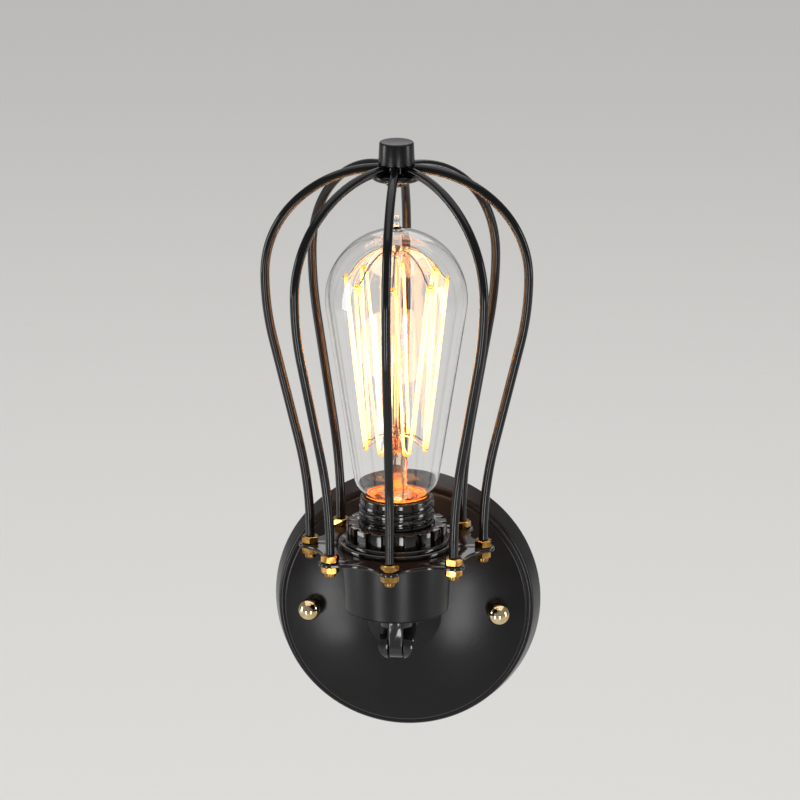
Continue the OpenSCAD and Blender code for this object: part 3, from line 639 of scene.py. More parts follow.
@dataclass(frozen=True)
class Piece:
    """What a new piece is, and the two ways to make it."""

    name: str
    finish: Finish
    body: Body
    stands_for: tuple[str, ...] = ()

    def make(self, mesh: Mesh, place: Matrix) -> None:
        """Makes the piece of a mesh drawn in millimetres, smooth but for its sharp edges.

        Args:
            mesh: The mesh, which is used up.
            place: Where the mesh's own axes lie in the frame, in metres.
        """
        data = bpy.data.meshes.new(self.name)
        mesh.to_mesh(data)
        mesh.free()
        data.transform(place @ Matrix.Scale(MM, 4))
        data.shade_smooth()
        data.set_sharp_from_angle(angle=SMOOTH_BELOW)
        data.materials.append(self.finish.material())
        piece = bpy.data.objects.new(self.name, data)
        bpy.context.scene.collection.objects.link(piece)
        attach(piece, self.body.value)
        if self.stands_for:
            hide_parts(*self.stands_for)
        LOG.info("%s: %d faces, %s", piece.name, len(data.polygons), self.finish.name)

    def grow(self, seed: Mesh, tree: Tree, place: Matrix, **values: float | tuple) -> None:
        """Makes the piece of what a geometry tree grows from a seed, as a plain mesh.

        Args:
            seed: The mesh that the tree starts from, in millimetres, which is used up.
            tree: The tree.
            place: Where the mesh's own axes lie in the frame, in metres.
            **values: The tree's named inputs.
        """
        data = bpy.data.meshes.new(self.name)
        seed.to_mesh(data)
        seed.free()
        start = bpy.data.objects.new(self.name + "_seed", data)
        bpy.context.scene.collection.objects.link(start)
        modifier = start.modifiers.new(tree.name, "NODES")
        modifier.node_group = tree
        sockets = {s.name: s.identifier for s in tree.interface.items_tree if s.in_out == "INPUT"}
        for label, value in (values | {"Material": self.finish.material()}).items():
            modifier[sockets[label]] = value
        bpy.context.view_layer.update()
        depsgraph = bpy.context.evaluated_depsgraph_get()
        shape = bpy.data.meshes.new_from_object(start.evaluated_get(depsgraph))
        start.modifiers.remove(modifier)
        bpy.data.objects.remove(start)
        mesh = bmesh.new()
        mesh.from_mesh(shape)
        bmesh.ops.recalc_face_normals(mesh, faces=mesh.faces)
        self.make(mesh, place)


# ---- geometry trees for what repeats ----

GEOMETRY, NUMBER, WHOLE, SHADE, SPOT = (
    f"NodeSocket{kind}" for kind in ("Geometry", "Float", "Int", "Material", "Vector")
)


def new_tree(name: str, **inputs: str) -> tuple[Tree, bpy.types.NodeOutputs]:
    """Starts a geometry tree.

    Args:
        name: The tree's name.
        **inputs: The socket type of each named input.

    Returns:
        The tree and the sockets that give its inputs.
    """
    tree = bpy.data.node_groups.new(name, "GeometryNodeTree")
    tree.interface.new_socket("Geometry", in_out="OUTPUT", socket_type=GEOMETRY)
    for label, kind in inputs.items():
        tree.interface.new_socket(label, in_out="INPUT", socket_type=kind)
    return tree, tree.nodes.new("NodeGroupInput").outputs


@cache
def round_the_axis() -> Tree:
    """A tree that sets copies of a shape at even steps round the Z axis, as a real mesh.

    Returns:
        The tree, which is made once.
    """
    tree, given = new_tree("round_the_axis", Geometry=GEOMETRY, Count=WHOLE, Material=SHADE)
    count = given["Count"]
    points = add(tree, "GeometryNodePoints", links={"Count": count})
    step = add(tree, "ShaderNodeMath", {"operation": "DIVIDE", 0: math.tau}, {1: count})
    index = add(tree, "GeometryNodeInputIndex")
    turn = add(tree, "ShaderNodeMath", {"operation": "MULTIPLY"}, {0: index, 1: step})
    angles = add(tree, "ShaderNodeCombineXYZ", links={"Z": turn})
    sources = {"Points": points, "Instance": given["Geometry"], "Rotation": angles}
    copies = add(tree, "GeometryNodeInstanceOnPoints", links=sources)
    real = add(tree, "GeometryNodeRealizeInstances", links={"Geometry": copies})
    shade = {"Geometry": real, "Material": given["Material"]}
    shaded = add(tree, "GeometryNodeSetMaterial", links=shade)
    add(tree, "NodeGroupOutput", links={"Geometry": shaded})
    return tree


def end_with_copies(tree: Tree, shape: Node, given: bpy.types.NodeOutputs) -> None:
    """Ends a tree by setting its shape round the axis.

    Args:
        tree: The tree.
        shape: The node that gives the shape.
        given: The sockets that give the tree's inputs.
    """
    sources = {"Geometry": shape, "Count": given["Count"], "Material": given["Material"]}
    copies = add(tree, "GeometryNodeGroup", {"node_tree": round_the_axis()}, sources)
    add(tree, "NodeGroupOutput", links={"Geometry": copies})


@cache
def bent_bars() -> Tree:
    """A tree that turns a line of edges into a round bar and sets copies round the axis.

    Returns:
        The tree, which is made once.
    """
    sizes = {"Radius": NUMBER, "Sides": WHOLE, "Count": WHOLE}
    tree, given = new_tree("bent_bars", Geometry=GEOMETRY, **sizes, Material=SHADE)
    line = add(tree, "GeometryNodeMeshToCurve", links={0: given["Geometry"]})
    round_section = {"Resolution": given["Sides"], "Radius": given["Radius"]}
    section = add(tree, "GeometryNodeCurvePrimitiveCircle", links=round_section)
    sweep = {"Curve": line, "Profile Curve": section}
    bar = add(tree, "GeometryNodeCurveToMesh", {"Fill Caps": True}, sweep)
    end_with_copies(tree, bar, given)
    return tree


@cache
def screw_threads() -> Tree:
    """A tree that winds a ridge round its seed as a screw thread and sets copies round the axis.

    Returns:
        The tree, which is made once.
    """
    sizes = {name: NUMBER for name in ("Radius", "Pitch", "Turns", "Ridge")}
    ends = {"Foot": SPOT, "Count": WHOLE, "Material": SHADE}
    tree, given = new_tree("screw_threads", Geometry=GEOMETRY, **sizes, **ends)
    factors = {0: given["Pitch"], 1: given["Turns"]}
    rise = add(tree, "ShaderNodeMath", {"operation": "MULTIPLY"}, factors)
    path = {"Rotations": given["Turns"], "Height": rise}
    path |= {f"{end} Radius": given["Radius"] for end in ("Start", "End")}
    winding = {"Resolution": 40, "Reverse": True}  # reversed, the spiral is right-handed
    helix = add(tree, "GeometryNodeCurveSpiral", winding, path)
    size = {"Radius": given["Ridge"]}
    section = add(tree, "GeometryNodeCurvePrimitiveCircle", {"Resolution": 8}, size)
    sweep = {"Curve": helix, "Profile Curve": section}
    ridge = add(tree, "GeometryNodeCurveToMesh", {"Fill Caps": True}, sweep)
    joined = add(tree, "GeometryNodeJoinGeometry", links={0: ridge})
    tree.links.new(given["Geometry"], joined.inputs[0])
    spot = {"Geometry": joined, "Translation": given["Foot"]}
    moved = add(tree, "GeometryNodeTransform", links=spot)
    end_with_copies(tree, moved, given)
    return tree


# ---- the frame's own places ----


@dataclass(frozen=True)
class Packed:
    """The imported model, read in millimetres."""

    nodes: dict[str, bpy.types.Object]

    def low(self, node: str, axis: int = 2) -> float:
        """A node's least coordinate along an axis, or its lowest height."""
        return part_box(node)[0][axis] / MM

    def high(self, node: str, axis: int = 2) -> float:
        """A node's greatest coordinate along an axis, or its greatest height."""
        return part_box(node)[1][axis] / MM

    def heights(self, node: str) -> Point:
        """A node's lowest and greatest height."""
        return self.low(node), self.high(node)

    def out_of_wall(self) -> Matrix:
        """Axes whose Z points out of the wall, at the centre of the wall plate."""
        return Matrix.Rotation(math.radians(90), 4, "X")

    def lamp_axis(self) -> Matrix:
        """Finds upright axes on the lamp's own axis, at the height of the wall plate's centre.

        Returns:
            The axes' place in the frame, in metres.
        """
        low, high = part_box("hub_knob")
        middle = (low + high) / 2
        return Matrix.Translation((middle.x, middle.y, 0))

    def finish_nodes(self, finish: Finish, *names: str) -> None:
        """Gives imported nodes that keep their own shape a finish.

        Args:
            finish: The finish.
            *names: The nodes.
        """
        for name in names:
            for slot in self.nodes[name].material_slots:
                slot.material = finish.material()
            LOG.info("%s: as packed, %s", name, finish.name)

    def ease(self, finish: Finish, body: Body, width: float, *names: str) -> None:
        """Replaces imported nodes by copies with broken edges.

        Args:
            finish: The copies' finish.
            body: The body that they move with.
            width: How wide the broken edges are.
            *names: The nodes.
        """
        for name in names:
            copy = Piece(name + "_eased", finish, body, (name,))
            copy.make(eased(self.nodes[name], width), Matrix.Identity(4))


# ---- the object ----


@dataclass(frozen=True)
class Assembly:
    """What every sub-assembly has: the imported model, which gives its places."""

    packed: Packed


@dataclass(frozen=True)
class WallPlate(Assembly):
    """The domed plate, with its fixings and the bracket behind it."""

    sheet: float = 1.2
    dome_ball: float = 143
    dome_inset: float = 5.4
    dome_edge: float = 1.7
    skirt_depth: float = 12.2
    shoulder: float = 2
    skirt_lean: float = 2.4
    broken_edge: float = 0.25

    def line(self, inset: float) -> list[Point]:
        """One face of the sheet, from the rim to the crown.

        Args:
            inset: How far the face lies inside the outer one.

        Returns:
            Its points, as radius against depth.
        """
        rim = self.packed.high("back_plate", 0)
        depth = -self.packed.low("back_plate", 1)
        centre = depth - self.dome_ball
        edge_x = rim - self.dome_inset - self.dome_edge
        edge_angle = math.asin(edge_x / (self.dome_ball - self.dome_edge))
        edge_y = centre + (self.dome_ball - self.dome_edge) * math.cos(edge_angle)
        rest = 90 - math.degrees(edge_angle)
        shoulder_at = (rim - self.skirt_lean - self.shoulder, self.skirt_depth - self.shoulder)
        lean = math.degrees(math.atan(self.skirt_lean / shoulder_at[1]))
        return [
            (rim - inset, 0),
            *arc(shoulder_at, self.shoulder - inset, lean, 90, steps=8),
            (rim - self.dome_inset - inset, self.skirt_depth - inset),
            *arc((edge_x, edge_y), self.dome_edge - inset, 0, rest, steps=10),
            *arc((0, centre), self.dome_ball - inset, rest, 90, steps=48)[1:],
        ]

    def build(self) -> None:
        """Makes the plate and dresses its fixings."""
        profile = [*self.line(0), *reversed(self.line(self.sheet))]
        shell = Piece("plate_shell", PLATE_COAT, Body.MOUNT, ("back_plate",))
        shell.make(spun(profile, sides=160), self.packed.out_of_wall())
        self.packed.finish_nodes(BALL_BRASS, "ball_nuts")
        self.packed.finish_nodes(BRASS, "earth_screw")
        self.packed.ease(ZINC, Body.MOUNT, self.broken_edge, "wall_bracket", "bracket_studs")


@dataclass(frozen=True)
class Stem(Assembly):
    """The tube that carries the lamp off the plate, and its flange, sleeve, washer and nut."""

    broken_edge: float = 0.35

    def build(self) -> None:
        """Dresses the stem's pieces."""
        self.packed.ease(PLATE_COAT, Body.MOUNT, self.broken_edge, "stem_flange")
        self.packed.ease(KNUCKLE_COAT, Body.MOUNT, self.broken_edge, "stem_sleeve")
        self.packed.ease(ZINC, Body.MOUNT, self.broken_edge / 2, "stem_lock_nut", "stem_washer")
        self.packed.finish_nodes(ZINC, "stem_tube")
        self.packed.finish_nodes(SILICONE, "supply_leads")


@dataclass(frozen=True)
class Knuckle(Assembly):
    """The fork, the tongue and the screw that the lamp tilts on."""

    broken_edge: float = 0.8
    screw_edge: float = 0.2

    def build(self) -> None:
        """Breaks the edges of the knuckle's pieces and dresses them."""
        self.packed.ease(KNUCKLE_COAT, Body.MOUNT, self.broken_edge, "knuckle_fork")
        self.packed.ease(KNUCKLE_COAT, Body.LAMP, self.broken_edge, "knuckle_tongue")
        self.packed.ease(SCREW_BLACK, Body.MOUNT, self.screw_edge, "knuckle_screw")


@dataclass(frozen=True)
class Lampholder(Assembly):
    """The cup, and the threaded holder with its shade ring and what is inside them."""

    cup_sheet: float = 1
    cup_edge: float = 1.8
    lip_share: float = 0.45
    nipple_bore: float = 5.05
    corner: float = 0.2
    holder_r: float = 16.6
    bore_r: float = 14.3
    mouth_rise: float = 1.2
    lip: float = 0.55
    insert_overlap: float = 0.1
    pitch: float = 2.8
    ridge: float = 1.1
    ridge_share: float = 1.15
    plain_pitches: float = 1.7
    lugs: int = 18
    lug_gap: float = 2.4
    lug_depth: float = 1.7
    lug_foot: float = 1
    lug_drop: float = 0.9
    lug_overlap: float = 0.4
    lug_edge: float = 0.35
    lug_slopes: Point = (0.6, 0.5)  # degrees that a lug's side takes, at its root and at its top
    flange_h: float = 1.8
    flange_past: float = 3
    flange_edge: float = 0.5
    thread_gap: float = 0.05

    def cup(self) -> None:
        """Makes the spun cup, with its rolled bottom edge and rounded lip."""
        radius = self.packed.high("lamp_cup", 0)
        low, rim = self.packed.heights("lamp_cup")
        floor, inside = low + self.cup_sheet, radius - self.cup_sheet
        lip = self.cup_sheet * self.lip_share
        profile = [
            (self.nipple_bore, low, self.corner),
            (radius, low, self.cup_edge),
            (radius, rim, lip),
            (inside, rim, lip),
            (inside, floor, self.cup_edge - self.cup_sheet),
            (self.nipple_bore, floor, self.corner),
        ]
        shell = Piece("cup_shell", CUP_COAT, Body.LAMP, ("lamp_cup",))
        shell.make(spun(rounded(profile, steps=8), sides=128), self.packed.lamp_axis())

    def sleeve(self) -> None:
        """Makes the threaded sleeve: a plain core and a round ridge wound on it."""
        mouth = self.packed.high("holder_sleeve") + self.mouth_rise
        base = self.packed.high("holder_base")
        foot = self.packed.low("holder_sleeve")
        root = self.holder_r - self.ridge
        inner_foot = self.packed.high("terminal_insert", 0) - self.insert_overlap
        profile = [
            (self.bore_r, mouth, self.lip),
            (self.bore_r, foot, 0),
            (inner_foot, foot, self.corner),
            (inner_foot, base, 0),
            (root, base, self.corner),
            (root, mouth, self.lip),
        ]
        core = spun(rounded(profile), sides=96)
        start = base + self.pitch
        bmesh.ops.translate(core, verts=core.verts, vec=(0, 0, -start))
        winding = self.ridge * self.ridge_share
        Piece("holder_thread", MOULDING, Body.LAMP, ("holder_sleeve",)).grow(
            core,
            screw_threads(),
            self.packed.lamp_axis(),
            Radius=self.holder_r - winding,
            Pitch=self.pitch,
            Turns=(mouth - base - self.plain_pitches * self.pitch) / self.pitch,
            Ridge=winding,
            Foot=(0, 0, start),
            Count=1,
        )

    def shade_ring(self) -> None:
        """Makes the moulded ring that clamps the cage: a flange, and lugs to grip it by."""
        low, top = self.packed.heights("shade_ring")
        flange_r = self.packed.high("shade_ring", 0)
        flange_top = low + self.flange_h
        body_r = flange_r - self.flange_past
        bore = self.holder_r + self.thread_gap
        lug_low = flange_top + self.lug_foot
        profile = [
            (bore, low, self.corner),
            (flange_r, low, self.flange_edge),
            (flange_r, flange_top, self.flange_edge),
            (body_r, flange_top, self.corner),
            (body_r, lug_low, 0.3),
            (bore, lug_low, 0),
        ]
        moulded = spun(rounded(profile), sides=128)
        half_gap = math.degrees(self.lug_gap / 2 / body_r)
        step, root = 360 / self.lugs, body_r - self.lug_depth
        in_gap, on_lug = self.lug_slopes
        outline: list[Point] = []
        for i in range(self.lugs):
            start, end = i * step + half_gap, (i + 1) * step - half_gap
            outline += arc((0, 0), root, start - 2 * half_gap + in_gap, start - in_gap, steps=2)
            outline += arc((0, 0), body_r, start + on_lug, end - on_lug, steps=6)
        bottom = lug_low - self.lug_overlap
        lugs = stamped(outline, [circle(bore, 96)], bottom, top - self.lug_drop, self.lug_edge)
        joined = bpy.data.meshes.new("lugs")
        lugs.to_mesh(joined)
        lugs.free()
        moulded.from_mesh(joined)
        bpy.data.meshes.remove(joined)
        ring = Piece("shade_ring_moulded", MOULDING, Body.LAMP, ("shade_ring",))
        ring.make(moulded, self.packed.lamp_axis())

    def build(self) -> None:
        """Makes the cup, the sleeve and the shade ring, and dresses the rest."""
        self.cup()
        self.sleeve()
        self.shade_ring()
        self.packed.finish_nodes(MOULDING, "holder_base")
        self.packed.finish_nodes(ZINC, "cup_nipple", "toothed_washer")
        self.packed.finish_nodes(STEATITE, "terminal_insert")
        self.packed.finish_nodes(BRASS, "terminal_screws", "centre_contact", "screw_shell")
        self.packed.finish_nodes(SILICONE, "lamp_leads")


@dataclass(frozen=True)
class Cage(Assembly):
    """Eight bent wires, the scalloped ring they stand on, their nuts, and the hub above them."""

    wires: int = 8
    wire_r: float = 2
    circle_r: float = 38
    foot_h: float = 5.4
    foot_overlap: float = 0.4
    foot_bend: float = 180
    lean: float = 13.5
    lean_len: float = 46
    belly_bend: float = 128
    shoulder_bend: float = 45.5
    shoulder_angle: float = 41.5
    crown_bend: float = 53
    wire_stop: float = 5.53
    lobe_r: float = 5
    scallop_r: float = 34.8
    ring_edge: float = 0.4
    ring_grip: float = 5.3
    wire_gap: float = 0.15
    nut_across: float = 7
    nut_bore: float = 2.05
    nut_cone: float = 35
    nut_face: float = 0.94  # the face left flat, as a share of the distance to a side
    nut_edge: float = 0.05  # the cone's depth at the middle of a side, as a share of the height
    nut_mouth: float = 0.08  # the depth of the bore's countersink, as a share of the height
    nut_sink: float = 0.3
    screw_pitch: float = 0.7
    screw_ridge: float = 0.2
    knob_edge: float = 0.8
    edge: float = 0.4
    disc_edge: float = 0.35

    def wire_line(self, foot: float, bend: float) -> list[Point]:
        """One wire's line: foot, lean, belly, shoulder and crown.

        Args:
            foot: The height of its lower end.
            bend: The height at which it starts to bend.

        Returns:
            Its points, as radius against height.
        """
        lean = math.radians(self.lean)
        turn = math.radians(self.shoulder_angle)
        bends = self.foot_bend + self.belly_bend
        belly_r = self.circle_r + bends * (1 - math.cos(lean)) + self.lean_len * math.sin(lean)
        belly_z = bend + bends * math.sin(lean) + self.lean_len * math.cos(lean)
        foot_bend = (self.circle_r + self.foot_bend, bend)
        belly = (belly_r - self.belly_bend, belly_z)
        shoulder = (belly_r - self.shoulder_bend, belly_z)
        offset = self.shoulder_bend - self.crown_bend
        crown = (shoulder[0] + offset * math.cos(turn), shoulder[1] + offset * math.sin(turn))
        return [
            (self.circle_r, foot),
            *arc(foot_bend, self.foot_bend, 180, 180 - self.lean, steps=12),
            *arc(belly, self.belly_bend, -self.lean, 0, steps=14),
            *arc(shoulder, self.shoulder_bend, 0, self.shoulder_angle, steps=14)[1:],
            *arc(crown, self.crown_bend, self.shoulder_angle, 90, steps=18)[1:],
            (self.wire_stop, crown[1] + self.crown_bend),
        ]

    def ring_line(self) -> list[Point]:
        """The ring's outline: a lobe round each wire, joined by scallops.

        Returns:
            Its points.
        """
        step = 180 / self.wires
        half = math.radians(step)
        reach = self.circle_r * math.cos(half)
        squares = self.scallop_r**2 + self.circle_r**2 - self.lobe_r**2
        past = self.lobe_r + reach - self.scallop_r
        hollow_r = (squares - 2 * reach * self.scallop_r) / (2 * past)
        centre_r = self.scallop_r + hollow_r
        across, out = centre_r * math.sin(half), centre_r * math.cos(half) - self.circle_r
        lobe_half = math.degrees(math.atan2(across, out))
        hollow_half = lobe_half - step
        points: list[Point] = []
        for i in range(self.wires):
            at = 2 * step * i
            lobe = self.on_circle(self.circle_r, at)
            points += arc(lobe, self.lobe_r, at - lobe_half, at + lobe_half, steps=20)
            hollow = self.on_circle(centre_r, at + step)
            back = at + step + 180
            scallop = arc(hollow, hollow_r, back - hollow_half, back + hollow_half, steps=14)
            points += scallop[-2:0:-1]
        return points

    @staticmethod
    def on_circle(radius: float, angle: float) -> Point:
        """The point of a circle round the axis at an angle in degrees."""
        return arc((0, 0), radius, angle, angle, steps=1)[0]

    def nut(self, low: float, high: float) -> Mesh:
        """One hexagon nut on the ring's circle, its corners turned to a cone at both ends.

        Args:
            low: The height of its underside.
            high: The height of its top.

        Returns:
            A closed mesh.
        """
        flat, sides, height = self.nut_across / 2, 72, high - low
        mesh = bmesh.new()
        columns = []
        for k in range(sides):
            angle = math.tau * k / sides
            reach = flat / math.cos((angle + math.pi / 6) % (math.pi / 3) - math.pi / 6)
            drop = (reach - flat) * math.tan(math.radians(self.nut_cone)) + height * self.nut_edge
            lower = [
                (self.nut_bore, height * self.nut_mouth),
                (self.nut_bore + self.nut_sink, 0),
                (flat * self.nut_face, 0),
                (reach, drop),
            ]
            upper = [(r, height - z) for r, z in reversed(lower)]
            x, y = math.cos(angle), math.sin(angle)
            points = ((self.circle_r + r * x, r * y, low + z) for r, z in lower + upper)
            columns.append([mesh.verts.new(point) for point in points])
        for here, after in zip(columns, [*columns[1:], columns[0]]):
            for j in range(len(here)):
                following = (j + 1) % len(here)
                mesh.faces.new((here[j], after[j], after[following], here[following]))
        bmesh.ops.recalc_face_normals(mesh, faces=mesh.faces)
        return mesh

    def wires_and_feet(self) -> None:
        """Makes the bent wires and the threaded feet that the nuts run on."""
        foot = self.packed.low("cage_wire_1")
        nut_top = self.packed.high("upper_cage_nuts")
        bend = self.packed.high("cage_ring") + self.foot_h
        path = self.wire_line(nut_top - self.foot_overlap, bend)
        nodes = tuple(f"cage_wire_{i + 1}" for i in range(self.wires))
        Piece("cage_wires_bent", WIRE_COAT, Body.LAMP, nodes).grow(
            line_seed((r, 0, z) for r, z in path),
            bent_bars(),
            self.packed.lamp_axis(),
            Radius=self.wire_r,
            Sides=24,
            Count=self.wires,
        )
        root, height = self.wire_r - self.screw_ridge, nut_top - foot
        core = rounded([(0, 0, 0), (root, 0, self.edge), (root, height, 0), (0, height, 0)])
        Piece("wire_feet", THREAD_BRASS, Body.LAMP).grow(
            spun(core, sides=24),
            screw_threads(),
            self.packed.lamp_axis(),
            Radius=root,
            Pitch=self.screw_pitch,
            Turns=(height - 1) / self.screw_pitch,
            Ridge=self.screw_ridge,
            Foot=(self.circle_r, 0, foot),
            Count=self.wires,
        )

    def nuts_and_ring(self) -> None:
        """Makes the nuts and the stamped ring between them."""
        ring_low, ring_high = self.packed.heights("cage_ring")
        for name, low, high in (
            ("upper_cage_nuts", ring_high, self.packed.high("upper_cage_nuts")),
            ("lower_cage_nuts", self.packed.low("lower_cage_nuts"), ring_low),
        ):
            nuts = Piece(name + "_turned", NUT_BRASS, Body.LAMP, (name,))
            seed, axis = self.nut(low, high), self.packed.lamp_axis()
            nuts.grow(seed, round_the_axis(), axis, Count=self.wires)
        holes = [circle(self.packed.high("shade_ring", 0) - self.ring_grip, 96)]
        for i in range(self.wires):
            at = self.on_circle(self.circle_r, 360 * i / self.wires)
            holes.append(circle(self.wire_r + self.wire_gap, 24, at))
        stamping = stamped(self.ring_line(), holes, ring_low, ring_high, self.ring_edge)
        ring = Piece("cage_ring_stamped", RING_COAT, Body.LAMP, ("cage_ring",))
        ring.make(stamping, self.packed.lamp_axis())

    def hub(self) -> None:
        """Makes the knob on top of the wires, and dresses the disc and screw below it."""
        axis = self.packed.lamp_axis()
        radius = self.packed.high("hub_knob", 0) - axis.translation.x / MM
        low, high = self.packed.heights("hub_knob")
        corners = [(0, low, 0), (radius, low, self.edge), (radius, high, self.knob_edge)]
        profile = rounded([*corners, (0, high, 0)], steps=6)
        knob = Piece("hub_knob_turned", HUB_COAT, Body.LAMP, ("hub_knob",))
        knob.make(spun(profile, sides=96), axis)
        self.packed.ease(HUB_COAT, Body.LAMP, self.disc_edge, "hub_disc")
        self.packed.ease(SCREW_BLACK, Body.LAMP, self.edge, "hub_screw")

    def build(self) -> None:
        """Makes the wires, their feet and nuts, the ring and the hub."""
        self.wires_and_feet()
        self.nuts_and_ring()
        self.hub()


@dataclass(frozen=True)
class Bulb(Assembly):
    """The squirrel-cage filament bulb: glass, stem, hooks, filament and screw cap."""

    ball_r: float = 31
    taper: float = 9
    wall: float = 0.8
    neck_r: float = 12.8
    neck_round: float = 10
    neck_rise: float = 10.8
    pip_foot: float = 3.2
    pip_r: float = 1.6
    pip_h: float = 6.3
    button_r: float = 2.8
    rod_r: float = 1.5
    tube_r: float = 4.2
    flare_gap: float = 0.05
    flare_h: float = 1.2
    press_h: float = 3
    press_reach: float = 7
    press_wide: float = 0.35
    press_thin: float = 0.55
    strands: int = 16
    strand_r: float = 0.55
    strand_bow: float = 0.35
    strand_steps: int = 8
    hook_r: float = 0.35
    hook_sink: float = 3.4
    top_reach: float = 22
    low_reach: float = 14
    hook_bend: float = 1.3
    hook_end: float = 0.35
    glow_r: float = 20
    glow_power: float = 2.2
    glow_colour: str = "#ffb070"

    def ball_z(self) -> float:
        """The height of the middle of the glass's round top."""
        return self.packed.high("bulb_glass") - self.pip_h - self.ball_r

    def neck_z(self) -> float:
        """The height of the middle of the glass's round neck."""
        return self.packed.high("holder_sleeve") + self.neck_rise

    def glass_line(self, inset: float) -> list[Point]:
        """One face of the glass, from its foot to the start of its taper.

        Args:
            inset: How far the face lies inside the outer one.

        Returns:
            Its points, as radius against height.
        """
        neck_z = self.neck_z()
        rise = self.ball_z() - neck_z
        taper = math.radians(self.taper)
        neck_x = (self.ball_r - self.neck_round - rise * math.sin(taper)) / math.cos(taper)
        radius = self.neck_round - inset
        start = -math.degrees(math.acos((self.neck_r - inset - neck_x) / radius))
        foot = (self.neck_r - inset, self.packed.low("bulb_glass"))
        return [foot, *arc((neck_x, neck_z), radius, start, -self.taper, steps=16)]

    def envelope(self) -> None:
        """Makes the blown glass, with the pip where it was pumped and sealed."""
        ball_z = self.ball_z()
        top = ball_z + self.ball_r
        pip_z = self.packed.high("bulb_glass") - self.pip_r
        pip_start = math.degrees(math.acos(self.pip_foot / self.ball_r))
        outer = [
            *self.glass_line(0),
            *arc((0, ball_z), self.ball_r, -self.taper, pip_start, steps=40),
            (self.pip_r + 0.5, top + 0.5),
            (self.pip_r + 0.05, top + 1.6),
            (self.pip_r - 0.25, top + 2.8),
            *arc((0, pip_z), self.pip_r, -35, 90, steps=10),
        ]
        inner = [
            *self.glass_line(self.wall),
            *arc((0, ball_z), self.ball_r - self.wall, -self.taper, 90, steps=44),
        ]
        shell = Piece("glass_envelope", CLEAR_GLASS, Body.BULB, ("bulb_glass",))
        shell.make(spun([*outer, *reversed(inner)], sides=128), self.packed.lamp_axis())

    def stem(self) -> None:
        """Makes the glass stem: a flare, a pinched press, and a rod that ends in a button."""
        low, high = self.packed.heights("bulb_stem")
        neck = self.neck_z()
        flare_r = self.neck_r - self.wall - self.flare_gap
        bend = flare_r - self.tube_r
        foot = low + self.flare_h
        profile = [
            (0, low),
            (flare_r, low),
            (flare_r, foot),
            *arc((flare_r, foot + bend), bend, -95, -180, steps=10),
            (self.tube_r, neck - 2),
            (4.0, neck + 6),
            (3.2, neck + 9),
            (self.rod_r, neck + 12),
            (self.rod_r, high - 2 * self.button_r),
            *arc((0, high - self.button_r), self.button_r, -58, 90, steps=10),
        ]
        mesh = spun(profile, sides=48)
        for vertex in mesh.verts:
            off = abs(vertex.co.z - (neck + self.press_h)) / self.press_reach
            share = max(0.0, 1 - off)
            pinch = share * share * (3 - 2 * share)
            vertex.co.x *= 1 + self.press_wide * pinch
            vertex.co.y *= 1 - self.press_thin * pinch
        pinched = Piece("glass_stem", STEM_GLASS, Body.BULB, ("bulb_stem",))
        pinched.make(mesh, self.packed.lamp_axis())

    def hook_heights(self) -> tuple[float, float]:
        """The heights of the lower and the upper hooks' ends."""
        past = self.hook_bend + self.hook_end
        return self.packed.low("filament") + past, self.packed.high("filament") - past

    def hooks(self) -> None:
        """Makes two spiders of fine wire, each of its hooks arched and curled at its end."""
        low, high = self.hook_heights()
        button = self.packed.high("bulb_stem") - self.hook_sink
        upper = [
            (1.2, button),
            (4.5, button + 1.6),
            (10, button + 0.4),
            (16, button - 4.2),
            (20, high + 1.6),
            (self.top_reach, high - 0.1),
            (self.top_reach + 1.1, high + 0.5),
        ]
        lower = [
            (1.2, low + 3.5),
            (4, low + 4.2),
            (8, low + 3.2),
            (11.5, low + 1),
            (self.low_reach, low),
            (self.low_reach + 1.1, low - 0.4),
        ]
        for name, line, strand, nodes in (
            ("upper_hooks", upper, 2, ("filament_hooks",)),
            ("lower_hooks", lower, 1, ()),
        ):
            turned = Matrix.Rotation(strand * math.tau / self.strands, 4, "Z")
            Piece(name, HOOK_WIRE, Body.BULB, nodes).grow(
                line_seed(smooth_path([(r, 0, z) for r, z in line], steps=6)),
                bent_bars(),
                self.packed.lamp_axis() @ turned,
                Radius=self.hook_r,
                Sides=8,
                Count=self.strands // 2,
            )

    def filament(self) -> None:
        """Makes the one wire that runs up and down between the hooks, bowed a little outwards."""
        low, high = self.hook_heights()
        knots: list[Vector] = []
        for i in range(self.strands):
            angle = (i + 1) * math.tau / self.strands
            out = Vector((math.cos(angle), math.sin(angle), 0))
            along = Vector((-math.sin(angle), math.cos(angle), 0))
            upper = i % 2 == 1
            reach, height = (self.top_reach, high) if upper else (self.low_reach, low)
            middle = out * reach + Vector((0, 0, height))
            side = Vector((0, 0, 1 if upper else -1))
            bend = [
                middle + self.hook_bend * (math.sin(a) * along + math.cos(a) * side)
                for a in (math.radians(-90 + 22.5 * k) for k in range(9))
            ]
            if knots:
                knots += self.strand(knots[-1], bend[0])
            knots += bend
        knots += self.strand(knots[-1], knots[0])
        Piece("filament_wire", CARBON_GLOW, Body.BULB, ("filament",)).grow(
            line_seed(knots, closed=True),
            bent_bars(),
            self.packed.lamp_axis(),
            Radius=self.strand_r,
            Sides=10,
            Count=1,
        )

    def strand(self, start: Vector, end: Vector) -> list[Vector]:
        """The points between a strand's ends, bowed outwards.

        Args:
            start: One end.
            end: The other end.

        Returns:
            The points, without the ends.
        """
        line = []
        for i in range(1, self.strand_steps):
            share = i / self.strand_steps
            point = start.lerp(end, share)
            out = Vector((point.x, point.y, 0)).normalized()
            line.append(point + out * self.strand_bow * math.sin(math.pi * share))
        return line

